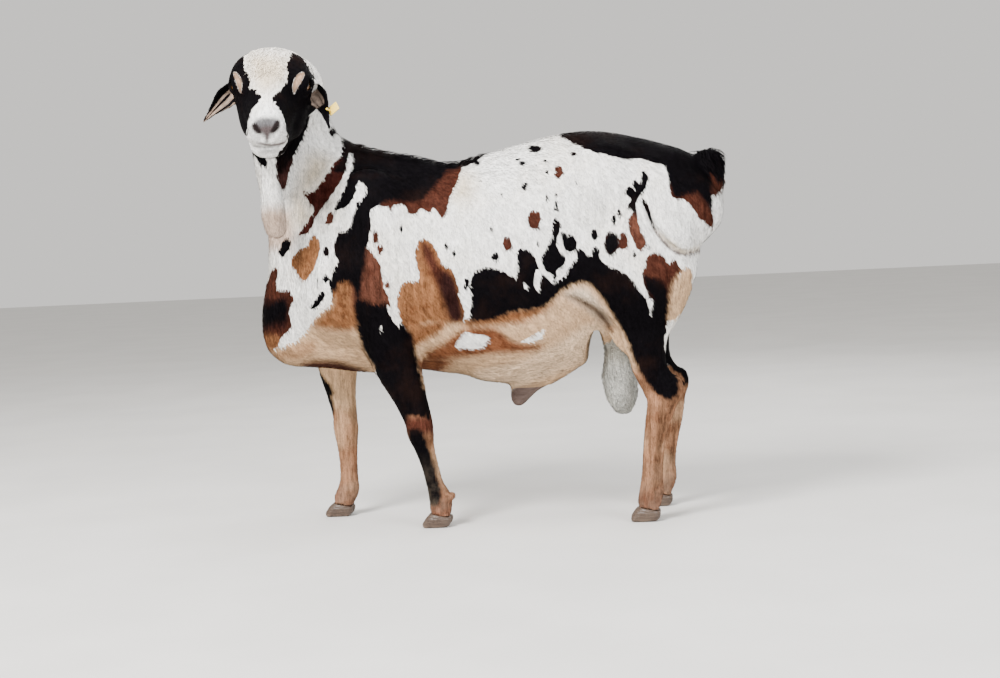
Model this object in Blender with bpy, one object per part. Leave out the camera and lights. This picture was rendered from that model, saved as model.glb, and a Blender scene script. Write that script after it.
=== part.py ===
"""Fat-tailed hair sheep ram, life size, standing as a museum model.

Metres, +Z up. The ram faces -X with its left side towards -Y and its head turned to its left.
The flesh is modelled whole as smooth clay, skinned once and parted into named nodes by thin cuts.
"""
import math
import random
import bpy
import bmesh
import numpy as np
from mathutils import Matrix, Vector

# Driving dimensions
STAND_SHIFT = np.array([0.036, 0.072, 0.0])     # brings the middle of the box over the origin
NODE_GAP = 0.0003                               # left between two nodes that meet
BODY_GRID = 0.011                               # spacing of the skin's points on the trunk
HEAD_GRID = 0.0036
LIMB_GRID = 0.0070
FINE_FADE = 0.35                                # how fast the spacing grows outside a fine zone
GRID_BLOCK = 8                                  # grid lines to a block that is read at once
SKIN_FACES = 9700                               # triangles kept for the flesh
WELD = 0.00001                                  # closer points are one
KNEE_HEIGHT = 0.200
HOCK_HEIGHT = 0.262
ELBOW_HEIGHT = 0.425
STIFLE_HEIGHT = 0.510
HOOF_TOP = 0.027
HOOF_REACH = 0.050                              # half the box that takes a claw
CORONET_SLOPE = 12                              # degrees, higher at the toe
JAW_SLOPE = 16.7                                # slopes of the cuts, in degrees
TAIL_LEAN = 17
NAPE_SLOPE = 53
SHOULDER_SLOPE = -30
EAR_CUT = 0.024                                 # root of the ear that stays with the head
EAR_MARGIN = 0.020                              # room round an ear in the box that takes it
EAR_BOX_WIDTH = 0.034
SHARP_ANGLE = 40                                # degrees, steeper edges are shaded sharp
TAG_ALONG = 0.62                                # place of the ear tag from root to tip
TAG_OUT = 0.0088                                # plate's distance behind the ear's middle
TAG_IN = 0.0040
TAG_STUD = 0.0022
TAG_PLATE = (0.0060, 0.0070, 0.0010)            # half sizes
TAG_BUTTON = (0.0035, 0.0035, 0.0010)
EYE_PLAY = 0.0004                               # more than the gap, as both balls have flat facets
LOCK_TIERS = 4                                  # shaggy locks on the tail's end
LOCKS_ROUND = 5
LOCK_SEED = 4
LOCK_FIRST, LOCK_LAST = 0.42, 0.97              # from the foot of the tail's end to its tip
LOCK_LENGTH = 0.026
LOCK_WIDTH = 0.0092                             # half sizes of a lock's root
LOCK_DEPTH = 0.0026
LOCK_LIFT = 0.0035
LOCK_BEND = 2.9
LOCK_FLARE = 0.12                               # how far a lock stands off the tail
LOCK_ROOT = 0.84                                # share of the tail's radius where a lock is rooted
LOCK_SIDES = 6
LOCK_TAPER = ((-0.20, 1.0), (0.30, 1.0), (0.65, 0.75), (0.88, 0.42), (1.0, 0.14))


# Clay: every form is a signed distance in metres, and forms are blended one after another
BLEND_REACH = 0.07      # how far from its surface a form still shapes its neighbours


def unit(vector):
    vector = np.asarray(vector, float)
    return vector / np.linalg.norm(vector)


def soft_min(a, b, round_off):
    """Union of two distances with a fillet of about round_off."""
    share = np.clip(0.5 + 0.5 * (b - a) / round_off, 0, 1)
    return b * (1 - share) + a * share - round_off * share * (1 - share)


def soft_cut(body, tool, round_off):
    """The body with the tool taken out, its edge rounded."""
    return -soft_min(-body, tool, round_off)


def smooth_line(stations, steps=4):
    """Catmull-Rom curve through the stations, each span cut into steps."""
    points = np.asarray(stations, float)
    first = 2 * points[0] - points[1]
    last = 2 * points[-1] - points[-2]
    ext = np.vstack([first, points, last])
    line = []
    for i in range(len(points) - 1):
        a, b, c, d = ext[i:i + 4]
        for t in np.arange(steps) / steps:
            bend = (2 * a - 5 * b + 4 * c - d) * t ** 2 + (3 * b - a - 3 * c + d) * t ** 3
            line.append(0.5 * (2 * b + (c - a) * t + bend))
    line.append(points[-1])
    return np.array(line)


class Tube:
    """Elliptical tube along stations (x, y, z, half width along side, half depth across it)."""

    def __init__(self, stations, side=(0, 1, 0), blend=0.03, steps=4):
        self.line = smooth_line(stations, steps)
        self.side = unit(side)
        self.blend = blend
        reach = self.line[:, 3:5].max(1)[:, None]
        self.low = (self.line[:, :3] - reach).min(0)
        self.high = (self.line[:, :3] + reach).max(0)

    def __call__(self, points):
        nearest = np.full(len(points), 1e3)
        for a, b in zip(self.line[:-1], self.line[1:]):
            span = b[:3] - a[:3]
            t = np.clip((points - a[:3]) @ span / max(span @ span, 1e-12), 0, 1)
            off = points - a[:3] - t[:, None] * span
            wide = a[3] + (b[3] - a[3]) * t
            deep = a[4] + (b[4] - a[4]) * t
            lateral = off @ self.side
            rest = np.maximum((off * off).sum(1) - lateral ** 2, 0)
            level = np.sqrt((lateral / wide) ** 2 + rest / deep ** 2)
            slope = np.sqrt((lateral / wide ** 2) ** 2 + rest / deep ** 4)
            distance = level * (level - 1) / np.maximum(slope, 1e-9)
            distance = np.where(level > 1e-6, distance, -np.minimum(wide, deep))
            np.minimum(nearest, distance, out=nearest)
        return nearest


class Lump:
    """Ellipsoid with half sizes (along its axis, sideways, upwards)."""

    def __init__(self, centre, radii, axis=(1, 0, 0), up=(0, 0, 1), blend=0.03):
        self.centre = np.asarray(centre, float)
        self.radii = np.asarray(radii, float)
        axis = unit(axis)
        up = np.asarray(up, float)
        up = unit(up - (up @ axis) * axis)
        self.frame = np.stack([axis, np.cross(up, axis), up], 1)
        self.blend = blend
        half = np.sqrt(((self.frame * self.radii) ** 2).sum(1))
        self.low = self.centre - half
        self.high = self.centre + half

    def __call__(self, points):
        local = (points - self.centre) @ self.frame
        level = np.sqrt(((local / self.radii) ** 2).sum(1))
        slope = np.sqrt(((local / self.radii ** 2) ** 2).sum(1))
        distance = level * (level - 1) / np.maximum(slope, 1e-9)
        return np.where(level > 1e-6, distance, -self.radii.min())


def close_to(form, points):
    low = points > form.low - BLEND_REACH
    high = points < form.high + BLEND_REACH
    return (low & high).all(1)


def heap(forms, points):
    """Distance to all forms, blended in order."""
    distance = np.full(len(points), 1.0)
    for form in forms:
        mask = close_to(form, points)
        if mask.any():
            distance[mask] = soft_min(distance[mask], form(points[mask]), form.blend)
    return distance


def carve(distance, forms, points):
    """The heap with the forms taken out."""
    for form in forms:
        mask = close_to(form, points)
        if mask.any():
            distance[mask] = soft_cut(distance[mask], form(points[mask]), form.blend)
    return distance


# Skin: surface nets on a grid that is fine where the forms are small
CORNERS = [(x, y, z) for x in (0, 1) for y in (0, 1) for z in (0, 1)]
UNTANGLE_ROUNDS = 30
TOUCH = 0.0002                      # depth given to a corner that is filled


def grid_lines(low, high, coarse, fine_zones):
    """Grid lines coarse apart, closer inside each fine zone (from, to, step)."""
    lines = [low]
    while lines[-1] < high:
        step = coarse
        for start, end, fine in fine_zones:
            away = max(start - lines[-1], lines[-1] - end, 0)
            step = min(step, fine + FINE_FADE * away)
        lines.append(lines[-1] + step)
    return np.array(lines)


def sample(field, lines):
    """Field on the grid, read point by point only in blocks that the surface can cross."""
    counts = [len(line) for line in lines]
    starts = [np.arange(0, n, GRID_BLOCK) for n in counts]
    ends = [np.minimum(s + GRID_BLOCK, n - 1) for s, n in zip(starts, counts)]
    middles = [(line[s] + line[e]) / 2 for line, s, e in zip(lines, starts, ends)]
    halves = [(line[e] - line[s]) / 2 for line, s, e in zip(lines, starts, ends)]
    centres = np.stack(np.meshgrid(*middles, indexing="ij"), -1).reshape(-1, 3)
    reach = np.sqrt(sum(h ** 2 for h in np.meshgrid(*halves, indexing="ij")))
    rough = field(centres).reshape(reach.shape)
    sign = np.where(rough > 0, 1.0, -1.0).astype(np.float32)
    for axis, n in enumerate(counts):
        sign = np.repeat(sign, GRID_BLOCK, axis).take(np.arange(n), axis)
    hot = np.argwhere(np.abs(rough) < reach * 1.25 + 0.006)
    for first in range(0, len(hot), 400):
        cells = []
        for block in hot[first:first + 400]:
            spans = [np.arange(b * GRID_BLOCK, min((b + 1) * GRID_BLOCK, n)) for b, n in zip(block, counts)]
            cells.append(np.stack(np.meshgrid(*spans, indexing="ij"), -1).reshape(-1, 3))
        cells = np.concatenate(cells)
        points = np.stack([line[cells[:, i]] for i, line in enumerate(lines)], 1)
        sign[tuple(cells.T)] = field(points)
    return sign


def window(values, shift):
    """The grid without its last line along each axis, moved by shift."""
    return values[tuple(slice(d, n - 1 + d) for d, n in zip(shift, values.shape))]


def untangle(values):
    """Fill corners until no cell holds two scraps of surface, so that the skin never touches itself."""
    for _ in range(UNTANGLE_ROUNDS):
        inside = values < 0
        filled = np.zeros(values.shape, bool)
        for one in range(3):
            for two in range(one + 1, 3):
                step = np.eye(3, dtype=int)
                spots = ((0, 0, 0), step[one], step[two], step[one] + step[two])
                a, b, c, d = (window(inside, s) for s in spots)
                window(filled, (0, 0, 0))[...] |= (a == d) & (b == c) & (a != b) & ~a
                window(filled, step[one])[...] |= (a == d) & (b == c) & (a != b) & ~b
        count = sum(window(inside, s).astype(np.int8) for s in CORNERS)
        for near in CORNERS[:4]:
            far = tuple(1 - n for n in near)
            pair = window(inside, near) == window(inside, far)
            alone = pair & (((count == 2) & window(inside, near)) | ((count == 6) & ~window(inside, near)))
            spot = near if near != (0, 0, 0) else (1, 0, 0)
            window(filled, spot)[...] |= alone & (count == 2)
            window(filled, near)[...] |= alone & (count == 6)
        if not filled.any():
            break
        values[filled] = -np.abs(values[filled]) - TOUCH
    return values


def net(field, lines):
    """Vertices and four-sided faces of the surface where the field is zero."""
    values = untangle(sample(field, lines))
    inside = values < 0
    filled = sum(window(inside, corner).astype(np.int8) for corner in CORNERS)
    cells = np.argwhere((filled > 0) & (filled < 8))
    number = np.full(filled.shape, -1)
    number[tuple(cells.T)] = np.arange(len(cells))
    total = np.zeros((len(cells), 3))
    count = np.zeros(len(cells))
    for i, p in enumerate(CORNERS):
        for q in CORNERS[i + 1:]:
            if sum(abs(a - b) for a, b in zip(p, q)) != 1:
                continue
            start, end = cells + p, cells + q
            a, b = values[tuple(start.T)], values[tuple(end.T)]
            cross = (a < 0) != (b < 0)
            t = np.where(cross, a / np.where(cross, a - b, 1), 0)[:, None]
            place = [np.stack([line[c[:, k]] for k, line in enumerate(lines)], 1) for c in (start, end)]
            total[cross] += (place[0] + t * (place[1] - place[0]))[cross]
            count[cross] += 1
    vertices = total / count[:, None]
    faces = []
    for axis in range(3):
        one, two = [k for k in range(3) if k != axis]
        before = inside.take(np.arange(inside.shape[axis] - 1), axis)
        after = inside.take(np.arange(1, inside.shape[axis]), axis)
        edges = np.argwhere(before != after)
        outward = before[tuple(edges.T)]
        if axis == 1:
            outward = ~outward
        ring = []
        for shift_one, shift_two in ((1, 1), (0, 1), (0, 0), (1, 0)):
            cell = edges.copy()
            cell[:, one] -= shift_one
            cell[:, two] -= shift_two
            ring.append(number[tuple(cell.T)])
        ring = np.stack(ring, 1)
        ring[~outward] = ring[~outward][:, ::-1]
        faces.append(ring)
    return vertices, np.concatenate(faces)


# Head: its own frame, with along from poll to muzzle, left to its left and out of the forehead
HEAD_TURN = math.radians(7.5)       # heading from -Y towards +X
HEAD_PITCH = math.radians(32)       # face axis below the horizontal
HEAD_ROLL = math.radians(3)         # its left side lower
POLL = np.array([-0.430, -0.088, 0.968])

heading = np.array([math.sin(HEAD_TURN), -math.cos(HEAD_TURN), 0])
level_left = np.array([math.cos(HEAD_TURN), math.sin(HEAD_TURN), 0])
nose_up = np.array([0, 0, 1])
face_flat = heading * math.cos(HEAD_PITCH) - nose_up * math.sin(HEAD_PITCH)
brow_flat = np.cross(face_flat, level_left)
HEAD_LEFT = level_left * math.cos(HEAD_ROLL) - brow_flat * math.sin(HEAD_ROLL)
HEAD_ALONG = face_flat
HEAD_OUT = np.cross(HEAD_ALONG, HEAD_LEFT)


def head_point(along, out, left=0.0):
    return POLL + along * HEAD_ALONG + out * HEAD_OUT + left * HEAD_LEFT


def head_lump(along, out, left, radii, blend=0.02, axis=(1, 0, 0)):
    """Ellipsoid in head axes; radii along, left, out; axis given as (along, left, out)."""
    axis = axis[0] * HEAD_ALONG + axis[1] * HEAD_LEFT + axis[2] * HEAD_OUT
    return Lump(head_point(along, out, left), radii, axis, HEAD_OUT, blend)


def head_tube(stations, blend=0.02, side=None, steps=4):
    """Tube through (along, out, left, half width, half depth)."""
    line = [(*head_point(a, o, l), w, d) for a, o, l, w, d in stations]
    return Tube(line, HEAD_LEFT if side is None else side, blend, steps)


SIDES = (1, -1)


def head_forms():
    forms = [
        head_lump(0.046, -0.010, 0, (0.076, 0.080, 0.066)),
        head_tube([
            (0.030, -0.020, 0, 0.070, 0.064),
            (0.085, -0.016, 0, 0.068, 0.066),
            (0.130, -0.018, 0, 0.057, 0.060),
            (0.180, -0.022, 0, 0.045, 0.050),
            (0.222, -0.030, 0, 0.038, 0.043),
        ]),
        head_tube([
            (0.050, 0.034, 0, 0.058, 0.026),
            (0.100, 0.034, 0, 0.040, 0.022),
            (0.150, 0.029, 0, 0.028, 0.020),
            (0.200, 0.015, 0, 0.025, 0.018),
            (0.234, 0.000, 0, 0.023, 0.014),
        ], 0.03),
    ]
    for s in SIDES:
        forms += [
            head_lump(0.062, 0.008, s * 0.054, (0.046, 0.025, 0.026), 0.03),
            head_lump(0.094, 0.018, s * 0.062, (0.030, 0.019, 0.017)),
            head_lump(0.080, -0.060, s * 0.042, (0.060, 0.025, 0.042), 0.03),
            head_tube([
                (0.070, -0.078, s * 0.036, 0.016, 0.018),
                (0.140, -0.072, s * 0.028, 0.015, 0.018),
                (0.215, -0.060, s * 0.016, 0.014, 0.016),
            ], 0.03),
            head_lump(0.247, -0.003, s * 0.021, (0.015, 0.016, 0.014), 0.010),
            head_lump(0.240, -0.024, s * 0.021, (0.022, 0.020, 0.016), 0.012),
        ]
    forms.append(head_lump(0.226, -0.058, 0, (0.030, 0.029, 0.018), 0.012))
    return forms


def eye_centre(s):
    return head_point(0.098, 0.010, s * 0.0655)


EYE_RADIUS = 0.0135


# Face: lids, mouth line, nostrils and ears
LID_THICKNESS = 0.0035
EYE_LOOK = (0.30, 0.88, 0.30)       # along, left, out


def eye_axis(s):
    return unit(EYE_LOOK[0] * HEAD_ALONG + s * EYE_LOOK[1] * HEAD_LEFT + EYE_LOOK[2] * HEAD_OUT)


def lid_forms():
    return [Lump(eye_centre(s), [EYE_RADIUS + LID_THICKNESS] * 3, blend=0.010) for s in SIDES]


def lid_slits():
    """The opening between the lids, long along the face."""
    forms = []
    for s in SIDES:
        place = eye_centre(s) + eye_axis(s) * EYE_RADIUS
        run = unit(HEAD_ALONG * 0.9 - HEAD_OUT * 0.25)
        forms.append(Lump(place, (0.0135, 0.0125, 0.0075), run, np.cross(run, eye_axis(s)), 0.0015))
    return forms


def mouth_forms():
    """The line of the mouth round the muzzle, the split of the upper lip and the nostrils."""
    forms = [head_tube([
        (0.200, -0.050, 0.040, 0.0012, 0.0022),
        (0.226, -0.044, 0.039, 0.0014, 0.0030),
        (0.251, -0.040, 0.030, 0.0018, 0.0045),
        (0.261, -0.038, 0.000, 0.0015, 0.0035),
        (0.251, -0.040, -0.030, 0.0018, 0.0045),
        (0.226, -0.044, -0.039, 0.0014, 0.0030),
        (0.200, -0.050, -0.040, 0.0012, 0.0022),
    ], 0.002, HEAD_OUT)]
    forms.append(head_tube([
        (0.264, -0.012, 0, 0.0016, 0.003),
        (0.264, -0.036, 0, 0.0016, 0.003),
    ], 0.002))
    for s in SIDES:
        forms.append(head_tube([
            (0.263, -0.014, s * 0.010, 0.0035, 0.0040),
            (0.263, -0.005, s * 0.017, 0.0055, 0.0050),
            (0.256, 0.004, s * 0.027, 0.0030, 0.0035),
        ], 0.002))
    return forms


# Ears: root, bend and tip, half widths and the way the cup faces
EAR_ROOT = (0.036, -0.018, 0.070)
EAR_CUP_PUSH = 0.0048               # leaves a wall of about 5 mm
EAR_WIDTHS = (0.0150, 0.0205, 0.0225, 0.0185, 0.0110, 0.0035)
EAR_DEPTHS = (0.0130, 0.0110, 0.0090, 0.0070, 0.0050, 0.0030)
EAR_TIPS = {1: (-0.306, -0.160, 0.836), -1: (-0.570, -0.140, 0.866)}
EAR_CUPS = {1: (-0.75, -0.62, 0.10), -1: (0.25, -0.95, -0.15)}
EAR_SAG = {1: (0.012, 0.004, 0.012), -1: (-0.002, 0.000, 0.000)}


def ear_frame(s):
    root = head_point(EAR_ROOT[0], EAR_ROOT[1], s * EAR_ROOT[2])
    tip = np.array(EAR_TIPS[s])
    axis = unit(tip - root)
    cup = np.array(EAR_CUPS[s])
    cup = unit(cup - (cup @ axis) * axis)
    return root, tip, axis, cup


def ear_line(s, push, grow_width, grow_depth, start):
    """Stations along the ear, pushed towards the open side of its cup."""
    root, tip, axis, cup = ear_frame(s)
    sag = np.array(EAR_SAG[s])
    line = []
    for i, (wide, deep) in enumerate(zip(EAR_WIDTHS, EAR_DEPTHS)):
        t = i / (len(EAR_WIDTHS) - 1)
        if t < start:
            continue
        middle = root + (tip - root) * t + sag * math.sin(math.pi * t)
        line.append((*(middle + cup * push), wide * grow_width, deep * grow_depth))
    return line


def ear_form(s):
    root, tip, axis, cup = ear_frame(s)
    return Tube(ear_line(s, 0, 1, 1, 0), np.cross(axis, cup), 0.012)


def ear_cup(s):
    root, tip, axis, cup = ear_frame(s)
    return Tube(ear_line(s, EAR_CUP_PUSH, 0.80, 0.95, 0.15), np.cross(axis, cup), 0.003)


# Trunk, neck, dewlap, limbs, tail and small soft parts, in stations (x, y, z, half width, half depth)


def trunk_forms():
    forms = [
        Tube([
            (-0.405, 0, 0.480, 0.085, 0.110),
            (-0.330, 0, 0.520, 0.118, 0.180),
            (-0.250, 0, 0.553, 0.130, 0.220),
            (-0.150, 0, 0.541, 0.138, 0.216),
            (-0.050, 0, 0.526, 0.150, 0.217),
            (0.050, 0, 0.536, 0.156, 0.232),
            (0.130, 0, 0.560, 0.148, 0.227),
            (0.200, 0, 0.604, 0.132, 0.195),
            (0.280, 0, 0.628, 0.118, 0.158),
            (0.350, 0, 0.636, 0.098, 0.110),
            (0.385, 0, 0.632, 0.075, 0.080),
        ], blend=0.04),
        Tube([
            (-0.300, 0, 0.752, 0.030, 0.038),
            (-0.200, 0, 0.732, 0.032, 0.034),
            (-0.090, 0, 0.708, 0.036, 0.032),
            (0.050, 0, 0.742, 0.046, 0.032),
            (0.200, 0, 0.765, 0.060, 0.033),
            (0.320, 0, 0.736, 0.050, 0.032),
            (0.385, 0, 0.704, 0.036, 0.030),
        ], blend=0.05),
        Tube([
            (-0.440, 0, 0.560, 0.034, 0.034),
            (-0.442, 0, 0.470, 0.048, 0.050),
            (-0.452, 0, 0.400, 0.052, 0.050),
            (-0.405, 0, 0.378, 0.050, 0.034),
            (-0.330, 0, 0.372, 0.050, 0.036),
            (-0.250, 0, 0.365, 0.060, 0.038),
        ], blend=0.05),
        Tube([
            (-0.020, 0, 0.330, 0.060, 0.028),
            (0.060, 0, 0.312, 0.045, 0.026),
            (0.115, 0, 0.312, 0.030, 0.022),
            (0.160, 0, 0.345, 0.026, 0.020),
        ], blend=0.04),
    ]
    for s in SIDES:
        forms += [
            Lump((-0.245, s * 0.098, 0.630), (0.075, 0.034, 0.120), blend=0.05),
            Lump((-0.300, s * 0.088, 0.500), (0.085, 0.048, 0.085), blend=0.05),
            Lump((0.020, s * 0.075, 0.470), (0.160, 0.080, 0.140), blend=0.06),
            Lump((0.245, s * 0.086, 0.700), (0.070, 0.040, 0.070), blend=0.05),
            Lump((0.350, s * 0.070, 0.620), (0.060, 0.060, 0.120), blend=0.05),
        ]
    return forms


def neck_forms():
    return [
        Tube([
            (-0.300, 0, 0.600, 0.090, 0.150),
            (-0.345, 0, 0.690, 0.078, 0.122),
            (-0.392, 0, 0.780, 0.070, 0.090),
            (-0.412, -0.004, 0.860, 0.066, 0.076),
            (-0.424, -0.030, 0.915, 0.066, 0.068),
            (-0.428, -0.070, 0.945, 0.066, 0.064),
        ], blend=0.05),
        Tube([
            (-0.455, -0.070, 0.870, 0.040, 0.034),
            (-0.458, -0.030, 0.780, 0.034, 0.036),
            (-0.442, -0.005, 0.680, 0.034, 0.040),
            (-0.436, 0, 0.590, 0.038, 0.040),
        ], blend=0.05),
    ]


DEWLAP_LINE = [
    (-0.424, -0.215, 0.800, 0.010, 0.022),
    (-0.424, -0.205, 0.758, 0.010, 0.018),
    (-0.424, -0.190, 0.715, 0.019, 0.022),
    (-0.426, -0.175, 0.670, 0.029, 0.026),
    (-0.425, -0.165, 0.640, 0.027, 0.024),
]


def dewlap_forms():
    return [
        Tube(DEWLAP_LINE, blend=0.02),
        Tube([
            (-0.426, -0.190, 0.820, 0.020, 0.028),
            (-0.434, -0.140, 0.800, 0.014, 0.040),
            (-0.444, -0.085, 0.770, 0.014, 0.050),
            (-0.452, -0.030, 0.720, 0.020, 0.040),
        ], side=(1, 0, 0), blend=0.03),
        Lump((-0.432, -0.100, 0.850), (0.040, 0.070, 0.045), blend=0.03),
    ]


def fore_leg(s):
    """Near foreleg (s = -1) stands back, the far one forward."""
    if s < 0:
        line = [
            (-0.245, -0.100, 0.520, 0.045, 0.070),
            (-0.218, -0.098, 0.410, 0.044, 0.058),
            (-0.203, -0.096, 0.345, 0.038, 0.049),
            (-0.180, -0.094, 0.275, 0.029, 0.035),
            (-0.165, -0.092, 0.225, 0.026, 0.029),
            (-0.162, -0.091, 0.200, 0.027, 0.028),
            (-0.156, -0.090, 0.170, 0.023, 0.024),
            (-0.147, -0.090, 0.135, 0.0185, 0.0195),
            (-0.137, -0.090, 0.090, 0.0180, 0.0190),
            (-0.127, -0.090, 0.058, 0.0215, 0.0235),
            (-0.127, -0.090, 0.038, 0.0220, 0.0230),
        ]
    else:
        line = [
            (-0.330, 0.095, 0.500, 0.045, 0.070),
            (-0.355, 0.094, 0.400, 0.044, 0.056),
            (-0.366, 0.092, 0.335, 0.037, 0.045),
            (-0.362, 0.090, 0.275, 0.029, 0.033),
            (-0.356, 0.088, 0.225, 0.026, 0.027),
            (-0.355, 0.087, 0.195, 0.027, 0.0275),
            (-0.354, 0.086, 0.165, 0.023, 0.024),
            (-0.353, 0.085, 0.130, 0.0185, 0.0205),
            (-0.353, 0.085, 0.085, 0.0180, 0.0200),
            (-0.356, 0.085, 0.058, 0.0215, 0.0235),
            (-0.366, 0.085, 0.038, 0.0220, 0.0230),
        ]
    return [Tube(line, blend=0.03)]


def hind_leg(s):
    back = 0.0 if s < 0 else 0.030
    y = s * 0.092
    line = [
        (0.330, s * 0.094, 0.560, 0.050, 0.100),
        (0.322, s * 0.100, 0.480, 0.048, 0.086),
        (0.303 + back * 0.1, s * 0.100, 0.410, 0.042, 0.066),
        (0.311 + back * 0.2, s * 0.097, 0.360, 0.034, 0.045),
        (0.322 + back * 0.3, s * 0.094, 0.312, 0.027, 0.035),
        (0.341 + back * 0.4, y, 0.270, 0.0245, 0.035),
        (0.343 + back * 0.6, y, 0.245, 0.0245, 0.031),
        (0.331 + back, y, 0.200, 0.0210, 0.0250),
        (0.322 + back, y, 0.150, 0.0190, 0.0220),
        (0.317 + back * 0.9, y, 0.100, 0.0185, 0.0215),
        (0.314 + back * 0.9, y, 0.062, 0.0215, 0.0250),
        (0.308 + back * 0.8, y, 0.038, 0.0220, 0.0240),
    ]
    return [
        Tube(line, blend=0.03),
        Lump((0.300, s * 0.118, 0.520), (0.080, 0.030, 0.110), (0.35, 0, -1), (1, 0, 0), 0.05),
        Lump((0.375 + back * 0.4, y, 0.272), (0.012, 0.014, 0.022), blend=0.02),
    ]


FEET = {
    "foreleg_left": (-0.134, -0.090),
    "foreleg_right": (-0.376, 0.085),
    "hindleg_left": (0.301, -0.092),
    "hindleg_right": (0.326, 0.092),
}
CLAW_OFFSET = 0.0150


def dewclaw_forms(foot):
    """Two small knobs behind the fetlock."""
    x, y = FEET[foot]
    places = [(x + 0.030, y + s * 0.014, 0.062) for s in SIDES]
    return [Lump(place, (0.010, 0.008, 0.010), (1, 0, -1), (1, 0, 1), 0.008) for place in places]


def claw_cleft(foot):
    """The split between the two claws."""
    x, y = FEET[foot]
    return Lump((x - 0.018, y, 0.000), (0.034, 0.0022, 0.026), blend=0.003)


def claw_forms(foot):
    x, y = FEET[foot]
    forms = []
    for s in SIDES:
        forms.append(Tube([
            (x - 0.022, y + s * CLAW_OFFSET * 0.9, 0.006, 0.0110, 0.010),
            (x - 0.006, y + s * CLAW_OFFSET, 0.014, 0.0135, 0.017),
            (x + 0.012, y + s * CLAW_OFFSET, 0.016, 0.0130, 0.018),
        ], blend=0.008))
    return forms


def tail_forms():
    forms = [
        Tube([
            (0.330, 0, 0.725, 0.060, 0.045),
            (0.395, 0, 0.705, 0.070, 0.052),
            (0.425, 0, 0.650, 0.060, 0.050),
            (0.425, 0, 0.610, 0.040, 0.040),
        ], blend=0.03),
    ]
    for s in SIDES:
        forms.append(Lump((0.398, s * 0.062, 0.640), (0.074, 0.062, 0.088), (0.25, 0, 1), (1, 0, 0), 0.03))
    return forms


def tail_tip_forms():
    return [Tube([
        (0.445, -0.012, 0.610, 0.020, 0.018),
        (0.464, -0.012, 0.650, 0.026, 0.020),
        (0.462, -0.012, 0.700, 0.030, 0.024),
        (0.452, -0.010, 0.738, 0.026, 0.020),
        (0.474, -0.008, 0.744, 0.018, 0.012),
        (0.483, -0.008, 0.722, 0.010, 0.008),
    ], blend=0.02)]


def scrotum_forms():
    return [Tube([
        (0.262, 0, 0.420, 0.034, 0.036),
        (0.258, 0, 0.350, 0.036, 0.038),
        (0.258, 0, 0.300, 0.042, 0.042),
        (0.264, 0, 0.255, 0.040, 0.034),
        (0.268, 0, 0.238, 0.026, 0.024),
    ], blend=0.012)]


def sheath_forms():
    return [Tube([
        (0.085, 0, 0.308, 0.028, 0.030),
        (0.060, 0, 0.284, 0.022, 0.026),
        (0.043, 0, 0.262, 0.016, 0.020),
        (0.038, 0, 0.248, 0.011, 0.012),
    ], blend=0.02)]


# Flesh: everything that one skin covers


def flesh_forms():
    forms = trunk_forms() + neck_forms() + head_forms() + lid_forms()
    forms += dewlap_forms() + tail_forms() + tail_tip_forms()
    forms += scrotum_forms() + sheath_forms()
    for s in SIDES:
        forms += fore_leg(s) + hind_leg(s) + [ear_form(s)]
    for foot in FEET:
        forms += claw_forms(foot) + dewclaw_forms(foot)
    return forms


def flesh_cuts():
    cuts = mouth_forms() + lid_slits()
    cuts += [ear_cup(s) for s in SIDES]
    cuts += [claw_cleft(foot) for foot in FEET]
    return cuts


FORMS = flesh_forms()
CUTS = flesh_cuts()


def flesh(points):
    """Signed distance to the flesh, cut flat where the feet stand."""
    return np.maximum(carve(heap(FORMS, points), CUTS, points), -points[:, 2])


# Blender objects


def paint(name, colour, roughness, metallic=0.0):
    material = bpy.data.materials.new(name)
    material.use_nodes = True
    shader = material.node_tree.nodes["Principled BSDF"]
    shader.inputs["Base Color"].default_value = (*colour, 1)
    shader.inputs["Roughness"].default_value = roughness
    shader.inputs["Metallic"].default_value = metallic
    return material


def add_object(name, mesh, material=None):
    item = bpy.data.objects.new(name, mesh)
    bpy.context.scene.collection.objects.link(item)
    if material:
        mesh.materials.clear()
        mesh.materials.append(material)
    return item


def remove_object(item):
    bpy.data.objects.remove(item)


def bake_modifiers(item):
    """The object's evaluated mesh takes the place of its mesh and modifiers."""
    graph = bpy.context.evaluated_depsgraph_get()
    mesh = bpy.data.meshes.new_from_object(item.evaluated_get(graph))
    item.modifiers.clear()
    item.data = mesh


def keep_largest(mesh):
    """Only the largest closed surface stays."""
    form = bmesh.new()
    form.from_mesh(mesh)
    bmesh.ops.remove_doubles(form, verts=form.verts, dist=WELD)
    bmesh.ops.dissolve_degenerate(form, edges=form.edges, dist=WELD)
    bmesh.ops.triangulate(form, faces=form.faces)
    left = set(form.faces)
    shells = []
    while left:
        stack = [left.pop()]
        shell = [stack[0]]
        while stack:
            for edge in stack.pop().edges:
                for face in edge.link_faces:
                    if face in left:
                        left.remove(face)
                        stack.append(face)
                        shell.append(face)
        shells.append(shell)
    shells.sort(key=shell_volume, reverse=True)
    for shell in shells[1:]:
        bmesh.ops.delete(form, geom=shell, context="FACES")
    loose = [v for v in form.verts if not v.link_faces]
    bmesh.ops.delete(form, geom=loose, context="VERTS")
    form.to_mesh(mesh)
    form.free()


def shell_volume(shell):
    """Six times the volume inside the triangles."""
    return abs(sum(f.verts[0].co.dot(f.verts[1].co.cross(f.verts[2].co)) for f in shell))


def cut(item, cutter, operation):
    modifier = item.modifiers.new("Cut", "BOOLEAN")
    modifier.operation = operation
    modifier.object = cutter
    bake_modifiers(item)
    keep_largest(item.data)


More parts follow.
